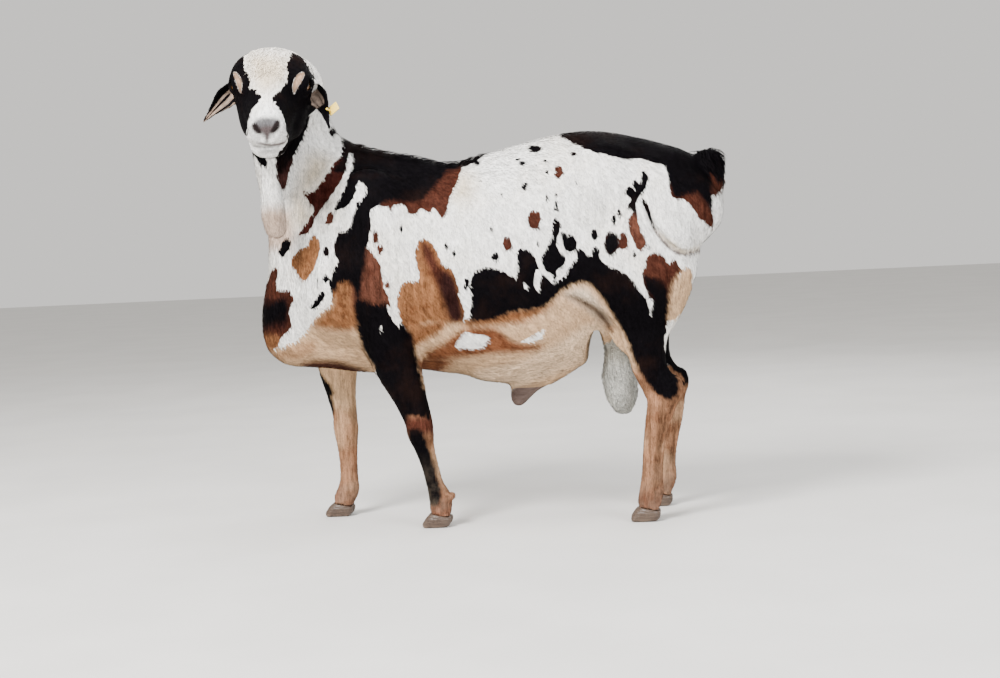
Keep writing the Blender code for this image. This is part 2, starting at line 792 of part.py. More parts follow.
def box_mesh(name, centre, half, axes):
    """Box with half sizes along the three columns of axes."""
    form = bmesh.new()
    bmesh.ops.create_cube(form, size=2)
    form.transform(Matrix.Diagonal((*half, 1)))
    form.transform(Matrix.Translation(Vector(centre)) @ Matrix(axes.tolist()).to_4x4())
    mesh = bpy.data.meshes.new(name)
    form.to_mesh(mesh)
    form.free()
    return mesh


def tilt(axis, degrees):
    return np.array(Matrix.Rotation(math.radians(degrees), 3, axis))


LEVEL = np.eye(3)


# Regions that part the flesh: (node, centre, half sizes, axes), cut one after another


def hoof_regions():
    regions = []
    for foot, (x, y) in FEET.items():
        outward = 1 if y > 0 else -1
        for s, claw in ((outward, "outer"), (-outward, "inner")):
            centre = (x - 0.005, y + s * (HOOF_REACH / 2 + NODE_GAP / 2), HOOF_TOP - HOOF_REACH)
            half = (0.060, HOOF_REACH / 2, HOOF_REACH)
            regions.append((f"{foot}_hoof_{claw}", centre, half, tilt("Y", CORONET_SLOPE)))
    return regions


def leg_regions():
    """Lower legs stand in boxes round their cannon bones, upper legs in boxes beside the trunk."""
    cannon_x = dict(zip(FEET, (-0.145, -0.360, 0.328, 0.356)))
    upper_x = dict(zip(FEET, (-0.215, -0.362, 0.335, 0.335)))
    regions = []
    for foot, (x, y) in FEET.items():
        front = foot.startswith("fore")
        joint = KNEE_HEIGHT if front else HOCK_HEIGHT
        top = ELBOW_HEIGHT if front else STIFLE_HEIGHT
        half = (0.075, 0.048, joint / 2 + 0.01)
        regions.append((f"{foot}_lower", (cannon_x[foot], y, joint / 2 - 0.01), half, LEVEL))
        outward = 1 if y > 0 else -1
        half = (0.085 if front else 0.112, 0.065, (top - joint) / 2)
        centre = (upper_x[foot], outward * 0.112, (top + joint) / 2)
        regions.append((f"{foot}_upper", centre, half, LEVEL))
    return regions


def ear_region(s, name):
    root, tip, axis, cup = ear_frame(s)
    length = np.linalg.norm(tip - root)
    centre = root + axis * ((EAR_CUT + length) / 2 + EAR_MARGIN) + np.array(EAR_SAG[s]) / 2
    half = ((length - EAR_CUT) / 2 + EAR_MARGIN, EAR_BOX_WIDTH, EAR_MARGIN)
    return (name, centre, half, np.stack([axis, np.cross(cup, axis), cup], 1))


def other_regions():
    slope = tilt("X", JAW_SLOPE)
    jaw = np.array([-0.430, -0.200, 0.796])
    lean = tilt("Y", TAIL_LEAN)
    tail_corner = np.array([0.322, 0, 0.575])
    nape = tilt("X", NAPE_SLOPE)
    shoulder = tilt("Y", SHOULDER_SLOPE)
    return [
        ("scrotum", (0.262, 0, 0.297), (0.058, 0.047, 0.108), LEVEL),
        ("sheath", (0.045, 0, 0.243), (0.062, 0.045, 0.045), LEVEL),
        ("tail_tip", (0.480, -0.010, 0.745), (0.044, 0.045, 0.045), LEVEL),
        ("tail", tail_corner + lean @ (0.12, 0, 0.14), (0.12, 0.16, 0.14), lean),
        ("dewlap", jaw + slope @ (0, -0.064, -0.10), (0.060, 0.09, 0.10), slope),
        ear_region(1, "ear_left"),
        ear_region(-1, "ear_right"),
        ("head", np.array([-0.430, -0.055, 0.900]) + nape @ (0, 0, 0.25), (0.25, 0.25, 0.25), nape),
        ("neck", np.array([-0.360, 0, 0.690]) + shoulder @ (0, 0, 0.25), (0.25, 0.25, 0.25), shoulder),
    ]


def skin_object():
    """The whole flesh as one closed mesh."""
    lines = [
        grid_lines(-0.65, 0.53, BODY_GRID, [(-0.62, -0.28, HEAD_GRID), (-0.42, 0.42, LIMB_GRID)]),
        grid_lines(-0.36, 0.20, BODY_GRID, [(-0.36, -0.05, HEAD_GRID), (-0.15, 0.15, LIMB_GRID)]),
        grid_lines(-0.02, 1.06, BODY_GRID, [(0.74, 1.04, HEAD_GRID), (-0.02, 0.40, LIMB_GRID)]),
    ]
    vertices, faces = net(flesh, lines)
    mesh = bpy.data.meshes.new("flesh")
    mesh.from_pydata(vertices.tolist(), [], faces.tolist())
    item = add_object("flesh", mesh)
    keep_largest(item.data)
    thin = item.modifiers.new("Thin", "DECIMATE")
    thin.ratio = SKIN_FACES / len(item.data.polygons)
    bake_modifiers(item)
    keep_largest(item.data)
    return item


# Colours of the nodes: linear red, green, blue, then roughness
COAT_WHITE = ((0.74, 0.72, 0.66), 0.85)
COAT_BLACK = ((0.012, 0.010, 0.011), 0.75)
COAT_TAN = ((0.43, 0.19, 0.09), 0.85)
HORN = ((0.050, 0.035, 0.026), 0.45)
EYE = ((0.030, 0.016, 0.008), 0.08)
TAG = ((0.82, 0.56, 0.10), 0.40)
SKIN_GREY = ((0.40, 0.36, 0.33), 0.80)
NODE_COLOURS = {
    "torso": COAT_WHITE, "neck": COAT_WHITE, "head": COAT_WHITE, "dewlap": COAT_WHITE, "tail": COAT_WHITE,
    "tail_tip": COAT_BLACK, "ear_left": COAT_BLACK, "ear_right": SKIN_GREY,
    "scrotum": SKIN_GREY, "sheath": SKIN_GREY,
}


def node_colour(name):
    if "hoof" in name:
        return HORN
    if name.endswith("upper"):
        return COAT_BLACK
    return NODE_COLOURS.get(name, COAT_TAN)


def part_flesh():
    """Cut the flesh region by region; what stays is the torso."""
    rest = skin_object()
    nodes = []
    for name, centre, half, axes in hoof_regions() + leg_regions() + other_regions():
        half = np.array(half)
        node = add_object(name, rest.data.copy(), paint(name, *node_colour(name)))
        tool = add_object("tool", box_mesh("tool", centre, half, axes))
        cut(node, tool, "INTERSECT")
        remove_object(tool)
        tool = add_object("tool", box_mesh("tool", centre, half + NODE_GAP, axes))
        cut(rest, tool, "DIFFERENCE")
        remove_object(tool)
        nodes.append(node)
    rest.name = "torso"
    rest.data.materials.append(paint("torso", *node_colour("torso")))
    return nodes + [rest]


def ball_mesh(centre, radius):
    form = bmesh.new()
    bmesh.ops.create_icosphere(form, subdivisions=3, radius=radius)
    form.transform(Matrix.Translation(Vector(centre)))
    mesh = bpy.data.meshes.new("ball")
    form.to_mesh(mesh)
    form.free()
    return mesh


def eye_object(s, name, head):
    """Eyeball, and its bed in the head."""
    bed = add_object("bed", ball_mesh(eye_centre(s), EYE_RADIUS + EYE_PLAY))
    cut(head, bed, "DIFFERENCE")
    remove_object(bed)
    return add_object(name, ball_mesh(eye_centre(s), EYE_RADIUS), paint(name, *EYE))


def fuse(item, meshes):
    """One union of the object with closed meshes."""
    parts = bpy.data.collections.new("parts")
    bpy.context.scene.collection.children.link(parts)
    for mesh in meshes:
        parts.objects.link(bpy.data.objects.new("part", mesh))
    join = item.modifiers.new("Join", "BOOLEAN")
    join.operation = "UNION"
    join.operand_type = "COLLECTION"
    join.collection = parts
    bake_modifiers(item)
    for part in list(parts.objects):
        remove_object(part)
    bpy.data.collections.remove(parts)
    keep_largest(item.data)


def tag_object(ear):
    """Blank ear tag: a plate behind the left ear on a stud through it, with a button in its cup."""
    root, tip, axis, cup = ear_frame(1)
    place = root + (tip - root) * TAG_ALONG + np.array(EAR_SAG[1]) * math.sin(math.pi * TAG_ALONG)
    frame = np.stack([axis, np.cross(cup, axis), cup], 1)
    plate = box_mesh("plate", place - cup * TAG_OUT, TAG_PLATE, frame)
    button = box_mesh("button", place + cup * TAG_IN, TAG_BUTTON, frame)
    tag = add_object("ear_tag", stud_mesh(place, frame, TAG_STUD), paint("ear_tag", *TAG))
    fuse(tag, [plate, button])
    hole = add_object("hole", stud_mesh(place, frame, TAG_STUD + NODE_GAP))
    cut(ear, hole, "DIFFERENCE")
    remove_object(hole)
    return tag


def stud_mesh(place, frame, radius):
    form = bmesh.new()
    length = TAG_OUT + TAG_IN
    bmesh.ops.create_cone(form, cap_ends=True, segments=16, radius1=radius, radius2=radius, depth=length)
    middle = place + frame[:, 2] * (TAG_IN - TAG_OUT) / 2
    form.transform(Matrix.Translation(Vector(middle)) @ Matrix(frame.tolist()).to_4x4())
    mesh = bpy.data.meshes.new("stud")
    form.to_mesh(mesh)
    form.free()
    return mesh


def lock_mesh(root, along, outward, length):
    """Flat tapered lock, its root sunk, that rises from the tail and bends back along it."""
    side = np.cross(along, outward)
    vertices = []
    for t, narrow in LOCK_TAPER:
        middle = root + along * length * t + outward * LOCK_LIFT * math.sin(LOCK_BEND * t)
        for turn in range(LOCK_SIDES):
            angle = 2 * math.pi * turn / LOCK_SIDES
            flat = side * LOCK_WIDTH * math.cos(angle) + outward * LOCK_DEPTH * math.sin(angle)
            vertices.append(middle + flat * narrow)
    form = bmesh.new()
    corners = [form.verts.new(v) for v in vertices]
    rings = [corners[i:i + LOCK_SIDES] for i in range(0, len(corners), LOCK_SIDES)]
    for lower, upper in zip(rings, rings[1:]):
        for i in range(LOCK_SIDES):
            j = (i + 1) % LOCK_SIDES
            form.faces.new((lower[i], lower[j], upper[j], upper[i]))
    form.faces.new(rings[0][::-1])
    form.faces.new(rings[-1])
    bmesh.ops.triangulate(form, faces=form.faces)
    bmesh.ops.recalc_face_normals(form, faces=form.faces)
    mesh = bpy.data.meshes.new("lock")
    form.to_mesh(mesh)
    form.free()
    return mesh


def tail_locks(tip):
    """Shaggy locks in tiers round the curled end of the tail, kept inside its own region."""
    chance = random.Random(LOCK_SEED)
    line = tail_tip_forms()[0].line
    meshes = []
    for i in range(LOCK_TIERS * LOCKS_ROUND):
        tier, step = divmod(i, LOCKS_ROUND)
        place = LOCK_FIRST + (LOCK_LAST - LOCK_FIRST) * tier / (LOCK_TIERS - 1)
        spot = int(place * (len(line) - 2))
        run = unit(line[spot + 1][:3] - line[spot][:3])
        level = unit(np.cross(run, (0, 1, 0)))
        turn = 2 * math.pi * (step + tier / 2 + chance.uniform(-0.2, 0.2)) / LOCKS_ROUND
        outward = level * math.cos(turn) + np.cross(run, level) * math.sin(turn)
        along = unit(run + outward * LOCK_FLARE + np.cross(run, outward) * chance.uniform(-0.35, 0.35))
        outward = unit(outward - (outward @ along) * along)
        root = line[spot][:3] + outward * line[spot][3:5].mean() * LOCK_ROOT
        meshes.append(lock_mesh(root, along, outward, LOCK_LENGTH * chance.uniform(0.8, 1.2)))
    fuse(tip, meshes)
    name, centre, half, axes = next(region for region in other_regions() if region[0] == "tail_tip")
    tool = add_object("tool", box_mesh("tool", centre, half, axes))
    cut(tip, tool, "INTERSECT")
    remove_object(tool)


def main():
    for item in list(bpy.data.objects):
        bpy.data.objects.remove(item)
    nodes = part_flesh()
    by_name = {node.name: node for node in nodes}
    tail_locks(by_name["tail_tip"])
    nodes.append(eye_object(1, "eye_left", by_name["head"]))
    nodes.append(eye_object(-1, "eye_right", by_name["head"]))
    nodes.append(tag_object(by_name["ear_left"]))
    shift = Matrix.Translation(Vector(STAND_SHIFT))
    for node in nodes:
        node.data.transform(shift)
        node.data.shade_smooth()
        node.data.set_sharp_from_angle(angle=math.radians(SHARP_ANGLE))


main()
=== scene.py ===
"""Looks of the fat-tailed hair sheep ram, life size, standing as a museum model.

Metres, +Z up. The ram faces -X with its left side towards -Y and its head turned to its left.
The flesh is blended as smooth clay, skinned finely as one piece, painted with its markings and dressed
in short fur. The clay is made round the middle plane of the body and then moved onto the frame.
"""
import math
import bpy
import bmesh
import numpy as np
from mathutils import Matrix, Vector


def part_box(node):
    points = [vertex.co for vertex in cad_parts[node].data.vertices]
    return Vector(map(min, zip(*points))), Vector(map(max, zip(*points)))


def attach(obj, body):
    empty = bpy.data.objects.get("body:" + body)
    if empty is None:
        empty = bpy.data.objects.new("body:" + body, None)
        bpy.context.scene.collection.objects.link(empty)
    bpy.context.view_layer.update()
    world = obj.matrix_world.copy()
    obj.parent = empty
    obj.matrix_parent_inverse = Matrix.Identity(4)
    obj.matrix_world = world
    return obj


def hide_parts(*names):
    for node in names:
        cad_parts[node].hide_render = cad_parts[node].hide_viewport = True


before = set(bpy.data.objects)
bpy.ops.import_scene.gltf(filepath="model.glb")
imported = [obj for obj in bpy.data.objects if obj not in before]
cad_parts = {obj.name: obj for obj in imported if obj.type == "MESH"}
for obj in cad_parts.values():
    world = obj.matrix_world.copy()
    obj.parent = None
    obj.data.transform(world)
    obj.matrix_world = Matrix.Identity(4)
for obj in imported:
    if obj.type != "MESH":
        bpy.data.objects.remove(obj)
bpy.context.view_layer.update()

# Driving sizes
SIDE_GRID = 0.0050                  # spacing of the skin's points along and up the trunk
BODY_GRID = 0.0085                  # the same across the trunk
HEAD_GRID = 0.0029
LIMB_GRID = 0.0056
HOOF_GRID = 0.0013
FINE_FADE = 0.35                    # how fast the spacing grows outside a fine zone
GRID_BLOCK = 8                      # grid lines to a block that is read at once
COAT_DEPTH = 0.0026                 # how far the skin of the trunk lies under the tips of the coat
THIN_COAT = 0.0006                  # the same on head and legs
HOOF_TOP = 0.027                    # height of the coronet
HOOF_REACH = 0.050                  # from the coronet down to the point that its plane turns about
CORONET_SLOPE = 12                  # degrees, higher at the toe
NODE_GAP = 0.0003                   # left between two pieces that meet


# Clay: every form is a signed distance in metres, and forms are blended one after another
BLEND_REACH = 0.07      # how far from its surface a form still shapes its neighbours


def unit(vector):
    vector = np.asarray(vector, float)
    return vector / np.linalg.norm(vector)


def soft_min(a, b, round_off):
    """Union of two distances with a fillet of about round_off."""
    share = np.clip(0.5 + 0.5 * (b - a) / round_off, 0, 1)
    return b * (1 - share) + a * share - round_off * share * (1 - share)


def soft_cut(body, tool, round_off):
    """The body with the tool taken out, its edge rounded."""
    return -soft_min(-body, tool, round_off)


def spline(a, b, c, d, t):
    """Catmull-Rom curve from b to c."""
    bend = (2 * a - 5 * b + 4 * c - d) * t ** 2 + (3 * b - a - 3 * c + d) * t ** 3
    return 0.5 * (2 * b + (c - a) * t + bend)


def smooth_line(stations, steps=4):
    """Curve through the stations, each span cut into steps."""
    points = np.asarray(stations, float)
    first = 2 * points[0] - points[1]
    last = 2 * points[-1] - points[-2]
    ext = np.vstack([first, points, last])
    line = []
    for i in range(len(points) - 1):
        line += [spline(*ext[i:i + 4], t) for t in np.arange(steps) / steps]
    line.append(points[-1])
    return np.array(line)


def shell_distance(level, slope, deepest):
    """Distance to an ellipse or ellipsoid from its level, 1 on it and 0 at its middle."""
    distance = level * (level - 1) / np.maximum(slope, 1e-9)
    return np.where(level > 1e-6, distance, -deepest)


class Tube:
    """Elliptical tube along stations (x, y, z, half width along side, half depth across it)."""

    def __init__(self, stations, side=(0, 1, 0), blend=0.03):
        self.line = smooth_line(stations)
        self.side = unit(side)
        self.blend = blend
        reach = self.line[:, 3:5].max(1)[:, None]
        self.low = (self.line[:, :3] - reach).min(0)
        self.high = (self.line[:, :3] + reach).max(0)

    def __call__(self, points):
        nearest = np.full(len(points), 1e3)
        x, y, z = points.T
        for a, b in zip(self.line[:-1], self.line[1:]):
            reach = max(a[3:5].max(), b[3:5].max()) + BLEND_REACH
            low = np.minimum(a, b)[:3] - reach
            high = np.maximum(a, b)[:3] + reach
            close = (x > low[0]) & (x < high[0]) & (y > low[1]) & (y < high[1])
            close &= (z > low[2]) & (z < high[2])
            if not close.any():
                continue
            span = b[:3] - a[:3]
            off = points[close] - a[:3]
            t = np.clip(off @ span / max(span @ span, 1e-12), 0, 1)
            off -= t[:, None] * span
            wide = a[3] + (b[3] - a[3]) * t
            deep = a[4] + (b[4] - a[4]) * t
            lateral = off @ self.side
            rest = np.maximum((off * off).sum(1) - lateral ** 2, 0)
            level = np.sqrt((lateral / wide) ** 2 + rest / deep ** 2)
            slope = np.sqrt((lateral / wide ** 2) ** 2 + rest / deep ** 4)
            distance = shell_distance(level, slope, np.minimum(wide, deep))
            nearest[close] = np.minimum(nearest[close], distance)
        return nearest


class Lump:
    """Ellipsoid with half sizes (along its axis, sideways, upwards)."""

    def __init__(self, centre, radii, axis=(1, 0, 0), up=(0, 0, 1), blend=0.03):
        self.centre = np.asarray(centre, float)
        self.radii = np.asarray(radii, float)
        axis = unit(axis)
        up = np.asarray(up, float)
        up = unit(up - (up @ axis) * axis)
        self.frame = np.stack([axis, np.cross(up, axis), up], 1)
        self.blend = blend
        half = np.sqrt(((self.frame * self.radii) ** 2).sum(1))
        self.low = self.centre - half
        self.high = self.centre + half

    def __call__(self, points):
        local = (points - self.centre) @ self.frame
        level = np.sqrt(((local / self.radii) ** 2).sum(1))
        slope = np.sqrt(((local / self.radii ** 2) ** 2).sum(1))
        return shell_distance(level, slope, self.radii.min())


def close_to(form, points):
    low = points > form.low - BLEND_REACH
    high = points < form.high + BLEND_REACH
    return (low & high).all(1)


def heap(forms, points):
    """Distance to all forms, blended in order."""
    distance = np.full(len(points), 1.0)
    for form in forms:
        mask = close_to(form, points)
        if mask.any():
            distance[mask] = soft_min(distance[mask], form(points[mask]), form.blend)
    return distance


def carve(distance, forms, points):
    """The heap with the forms taken out."""
    for form in forms:
        mask = close_to(form, points)
        if mask.any():
            distance[mask] = soft_cut(distance[mask], form(points[mask]), form.blend)
    return distance


# Skin: surface nets on a grid that is fine where the forms are small
CORNERS = [(x, y, z) for x in (0, 1) for y in (0, 1) for z in (0, 1)]
UNTANGLE_ROUNDS = 30
TOUCH = 0.0002                      # depth given to a corner that is filled
CROSS_SHARE = 1.25                  # a block is read if its middle is nearer to the skin than its half
CROSS_MARGIN = 0.006                # diagonal times this share, and this much more
BLOCKS_AT_ONCE = 400


def grid_lines(low, high, coarse, fine_zones):
    """Grid lines coarse apart, closer inside each fine zone (from, to, step)."""
    lines = [low]
    while lines[-1] < high:
        step = coarse
        for start, end, fine in fine_zones:
            away = max(start - lines[-1], lines[-1] - end, 0)
            step = min(step, fine + FINE_FADE * away)
        lines.append(lines[-1] + step)
    return np.array(lines)


def sample(field, lines):
    """Field on the grid, read point by point only in blocks that the surface can cross."""
    counts = [len(line) for line in lines]
    starts = [np.arange(0, n, GRID_BLOCK) for n in counts]
    ends = [np.minimum(s + GRID_BLOCK, n - 1) for s, n in zip(starts, counts)]
    middles = [(line[s] + line[e]) / 2 for line, s, e in zip(lines, starts, ends)]
    halves = [(line[e] - line[s]) / 2 for line, s, e in zip(lines, starts, ends)]
    centres = np.stack(np.meshgrid(*middles, indexing="ij"), -1).reshape(-1, 3)
    reach = np.sqrt(sum(h ** 2 for h in np.meshgrid(*halves, indexing="ij")))
    rough = field(centres).reshape(reach.shape)
    sign = np.where(rough > 0, 1.0, -1.0).astype(np.float32)
    for axis, n in enumerate(counts):
        sign = np.repeat(sign, GRID_BLOCK, axis).take(np.arange(n), axis)
    hot = np.argwhere(np.abs(rough) < reach * CROSS_SHARE + CROSS_MARGIN)
    for first in range(0, len(hot), BLOCKS_AT_ONCE):
        cells = []
        for block in hot[first:first + BLOCKS_AT_ONCE]:
            corner = block * GRID_BLOCK
            spans = [np.arange(c, min(c + GRID_BLOCK, n)) for c, n in zip(corner, counts)]
            cells.append(np.stack(np.meshgrid(*spans, indexing="ij"), -1).reshape(-1, 3))
        cells = np.concatenate(cells)
        points = np.stack([line[cells[:, i]] for i, line in enumerate(lines)], 1)
        sign[tuple(cells.T)] = field(points)
    return sign


def window(values, shift):
    """The grid without its last line along each axis, moved by shift."""
    return values[tuple(slice(d, n - 1 + d) for d, n in zip(shift, values.shape))]


def untangle(values):
    """Fill corners until no cell holds two scraps of surface, so that the skin never touches itself."""
    for _ in range(UNTANGLE_ROUNDS):
        inside = values < 0
        filled = np.zeros(values.shape, bool)
        for one in range(3):
            for two in range(one + 1, 3):
                step = np.eye(3, dtype=int)
                spots = ((0, 0, 0), step[one], step[two], step[one] + step[two])
                a, b, c, d = (window(inside, s) for s in spots)
                window(filled, (0, 0, 0))[...] |= (a == d) & (b == c) & (a != b) & ~a
                window(filled, step[one])[...] |= (a == d) & (b == c) & (a != b) & ~b
        count = sum(window(inside, s).astype(np.int8) for s in CORNERS)
        for near in CORNERS[:4]:
            far = tuple(1 - n for n in near)
            pair = window(inside, near) == window(inside, far)
            alone = pair & np.where(window(inside, near), count == 2, count == 6)
            spot = near if near != (0, 0, 0) else (1, 0, 0)
            window(filled, spot)[...] |= alone & (count == 2)
            window(filled, near)[...] |= alone & (count == 6)
        if not filled.any():
            break
        values[filled] = -np.abs(values[filled]) - TOUCH
    return values


def net(field, lines):
    """Vertices and four-sided faces of the surface where the field is zero."""
    values = untangle(sample(field, lines))
    inside = values < 0
    filled = sum(window(inside, corner).astype(np.int8) for corner in CORNERS)
    cells = np.argwhere((filled > 0) & (filled < 8))
    number = np.full(filled.shape, -1)
    number[tuple(cells.T)] = np.arange(len(cells))
    total = np.zeros((len(cells), 3))
    count = np.zeros(len(cells))
    for i, p in enumerate(CORNERS):
        for q in CORNERS[i + 1:]:
            if sum(abs(a - b) for a, b in zip(p, q)) != 1:
                continue
            start, end = cells + p, cells + q
            a, b = values[tuple(start.T)], values[tuple(end.T)]
            cross = (a < 0) != (b < 0)
            t = np.where(cross, a / np.where(cross, a - b, 1), 0)[:, None]
            place = [np.stack([line[c[:, k]] for k, line in enumerate(lines)], 1) for c in (start, end)]
            total[cross] += (place[0] + t * (place[1] - place[0]))[cross]
            count[cross] += 1
    vertices = total / count[:, None]
    faces = []
    for axis in range(3):
        one, two = [k for k in range(3) if k != axis]
        before = inside.take(np.arange(inside.shape[axis] - 1), axis)
        after = inside.take(np.arange(1, inside.shape[axis]), axis)
        edges = np.argwhere(before != after)
        outward = before[tuple(edges.T)]
        if axis == 1:
            outward = ~outward
        ring = []
        for shift_one, shift_two in ((1, 1), (0, 1), (0, 0), (1, 0)):
            cell = edges.copy()
            cell[:, one] -= shift_one
            cell[:, two] -= shift_two
            ring.append(number[tuple(cell.T)])
        ring = np.stack(ring, 1)
        ring[~outward] = ring[~outward][:, ::-1]
        faces.append(ring)
    return vertices, np.concatenate(faces)


# Head: its own frame, with along from poll to muzzle, left to its left and out of the forehead
HEAD_TURN = math.radians(7.5)       # heading from -Y towards +X
HEAD_PITCH = math.radians(32)       # face axis below the horizontal
HEAD_ROLL = math.radians(3)         # its left side lower
POLL = np.array([-0.430, -0.088, 0.968])

heading = np.array([math.sin(HEAD_TURN), -math.cos(HEAD_TURN), 0])
level_left = np.array([math.cos(HEAD_TURN), math.sin(HEAD_TURN), 0])
nose_up = np.array([0, 0, 1])
face_flat = heading * math.cos(HEAD_PITCH) - nose_up * math.sin(HEAD_PITCH)
brow_flat = np.cross(face_flat, level_left)
HEAD_LEFT = level_left * math.cos(HEAD_ROLL) - brow_flat * math.sin(HEAD_ROLL)
HEAD_ALONG = face_flat
HEAD_OUT = np.cross(HEAD_ALONG, HEAD_LEFT)


def head_point(along, out, left=0.0):
    return POLL + along * HEAD_ALONG + out * HEAD_OUT + left * HEAD_LEFT


def head_lump(along, out, left, radii, blend=0.02, axis=(1, 0, 0)):
    """Ellipsoid in head axes; radii along, left, out; axis given as (along, left, out)."""
    axis = axis[0] * HEAD_ALONG + axis[1] * HEAD_LEFT + axis[2] * HEAD_OUT
    return Lump(head_point(along, out, left), radii, axis, HEAD_OUT, blend)


def head_tube(stations, blend=0.02, side=None):
    """Tube through (along, out, left, half width, half depth)."""
    line = [(*head_point(a, o, l), w, d) for a, o, l, w, d in stations]
    return Tube(line, HEAD_LEFT if side is None else side, blend)


SIDES = (1, -1)                     # left and right in head axes; on the body +Y and -Y


def head_forms():
    forms = [
        head_lump(0.046, -0.010, 0, (0.076, 0.080, 0.066)),
        head_tube([
            (0.030, -0.020, 0, 0.070, 0.064),
            (0.085, -0.016, 0, 0.068, 0.066),
            (0.130, -0.018, 0, 0.057, 0.060),
            (0.180, -0.022, 0, 0.045, 0.050),
            (0.222, -0.030, 0, 0.038, 0.043),
        ]),
        head_tube([
            (0.050, 0.034, 0, 0.058, 0.026),
            (0.100, 0.034, 0, 0.040, 0.022),
            (0.150, 0.029, 0, 0.028, 0.020),
            (0.200, 0.015, 0, 0.025, 0.018),
            (0.234, 0.000, 0, 0.023, 0.014),
        ], 0.03),
    ]
    for s in SIDES:
        forms += [
            head_lump(0.062, 0.008, s * 0.054, (0.046, 0.025, 0.026), 0.03),
            head_lump(0.094, 0.018, s * 0.062, (0.030, 0.019, 0.017)),
            head_lump(0.080, -0.060, s * 0.042, (0.060, 0.025, 0.042), 0.03),
            head_tube([
                (0.070, -0.078, s * 0.036, 0.016, 0.018),
                (0.140, -0.072, s * 0.028, 0.015, 0.018),
                (0.215, -0.060, s * 0.016, 0.014, 0.016),
            ], 0.03),
            head_lump(0.247, -0.003, s * 0.021, (0.015, 0.016, 0.014), 0.010),
            head_lump(0.240, -0.024, s * 0.021, (0.022, 0.020, 0.016), 0.012),
        ]
    forms.append(head_lump(0.226, -0.058, 0, (0.030, 0.029, 0.018), 0.012))
    return forms


def eye_centre(s):
    return head_point(0.098, 0.010, s * 0.0655)


EYE_RADIUS = 0.0135


# Face: lids, mouth line, nostrils and ears
LID_THICKNESS = 0.0035
EYE_LOOK = (0.40, 0.80, 0.42)       # along, left, out


def eye_axis(s):
    return unit(EYE_LOOK[0] * HEAD_ALONG + s * EYE_LOOK[1] * HEAD_LEFT + EYE_LOOK[2] * HEAD_OUT)


def lid_forms():
    return [Lump(eye_centre(s), [EYE_RADIUS + LID_THICKNESS] * 3, blend=0.010) for s in SIDES]


def lid_slits():
    """The opening between the lids, long along the face."""
    forms = []
    for s in SIDES:
        place = eye_centre(s) + eye_axis(s) * EYE_RADIUS
        run = unit(HEAD_ALONG * 0.9 - HEAD_OUT * 0.25)
        forms.append(Lump(place, (0.0135, 0.0125, 0.0075), run, np.cross(run, eye_axis(s)), 0.0015))
    return forms


def mouth_forms():
    """The line of the mouth round the muzzle, the split of the upper lip and the nostrils."""
    forms = [head_tube([
        (0.226, -0.044, 0.040, 0.0022, 0.0050),
        (0.252, -0.040, 0.030, 0.0026, 0.0070),
        (0.263, -0.038, 0.000, 0.0024, 0.0060),
        (0.252, -0.040, -0.030, 0.0026, 0.0070),
        (0.226, -0.044, -0.040, 0.0022, 0.0050),
    ], 0.002, HEAD_OUT)]
    forms.append(head_tube([
        (0.264, -0.012, 0, 0.0016, 0.003),
        (0.264, -0.036, 0, 0.0016, 0.003),
    ], 0.002))
    for s in SIDES:
        forms.append(head_tube([
            (0.265, -0.018, s * 0.009, 0.0040, 0.0050),
            (0.265, -0.007, s * 0.017, 0.0065, 0.0075),
            (0.258, 0.004, s * 0.028, 0.0038, 0.0050),
        ], 0.002))
    return forms


# Ears, the left one under 1 and the right one under -1
EAR_ROOT = (0.036, -0.018, 0.070)   # along, out, left of the poll
EAR_CUP_PUSH = 0.0048               # leaves a wall of about 5 mm
EAR_WIDTHS = (0.0150, 0.0205, 0.0218, 0.0150, 0.0085, 0.0034)
EAR_DEPTHS = (0.0130, 0.0110, 0.0090, 0.0070, 0.0050, 0.0030)
EAR_TIPS = {1: (-0.306, -0.160, 0.836), -1: (-0.570, -0.140, 0.866)}
EAR_CUPS = {1: (-0.42, -0.82, 0.34), -1: (0.25, -0.95, -0.15)}      # the way the cup faces
EAR_SAG = {1: (0.006, 0.002, 0.009), -1: (-0.002, 0.000, 0.000)}    # how far the middle bends


def ear_frame(s):
    root = head_point(EAR_ROOT[0], EAR_ROOT[1], s * EAR_ROOT[2])
    tip = np.array(EAR_TIPS[s])
    axis = unit(tip - root)
    cup = np.array(EAR_CUPS[s])
    cup = unit(cup - (cup @ axis) * axis)
    return root, tip, axis, cup


def ear_tube(s, push, grow_width, grow_depth, start, blend):
    """The ear from start of its length on, pushed towards the open side of its cup."""
    root, tip, axis, cup = ear_frame(s)
    sag = np.array(EAR_SAG[s])
    line = []
    for i, (wide, deep) in enumerate(zip(EAR_WIDTHS, EAR_DEPTHS)):
        t = i / (len(EAR_WIDTHS) - 1)
        if t < start:
            continue
        middle = root + (tip - root) * t + sag * math.sin(math.pi * t)
        line.append((*(middle + cup * push), wide * grow_width, deep * grow_depth))
    return Tube(line, np.cross(axis, cup), blend)


def ear_form(s):
    return ear_tube(s, 0, 1, 1, 0, 0.012)


def ear_cup(s):
    return ear_tube(s, EAR_CUP_PUSH, 0.80, 0.95, 0.15, 0.003)


# Trunk, neck, dewlap, limbs, tail and small soft parts, in stations (x, y, z, half width, half depth)


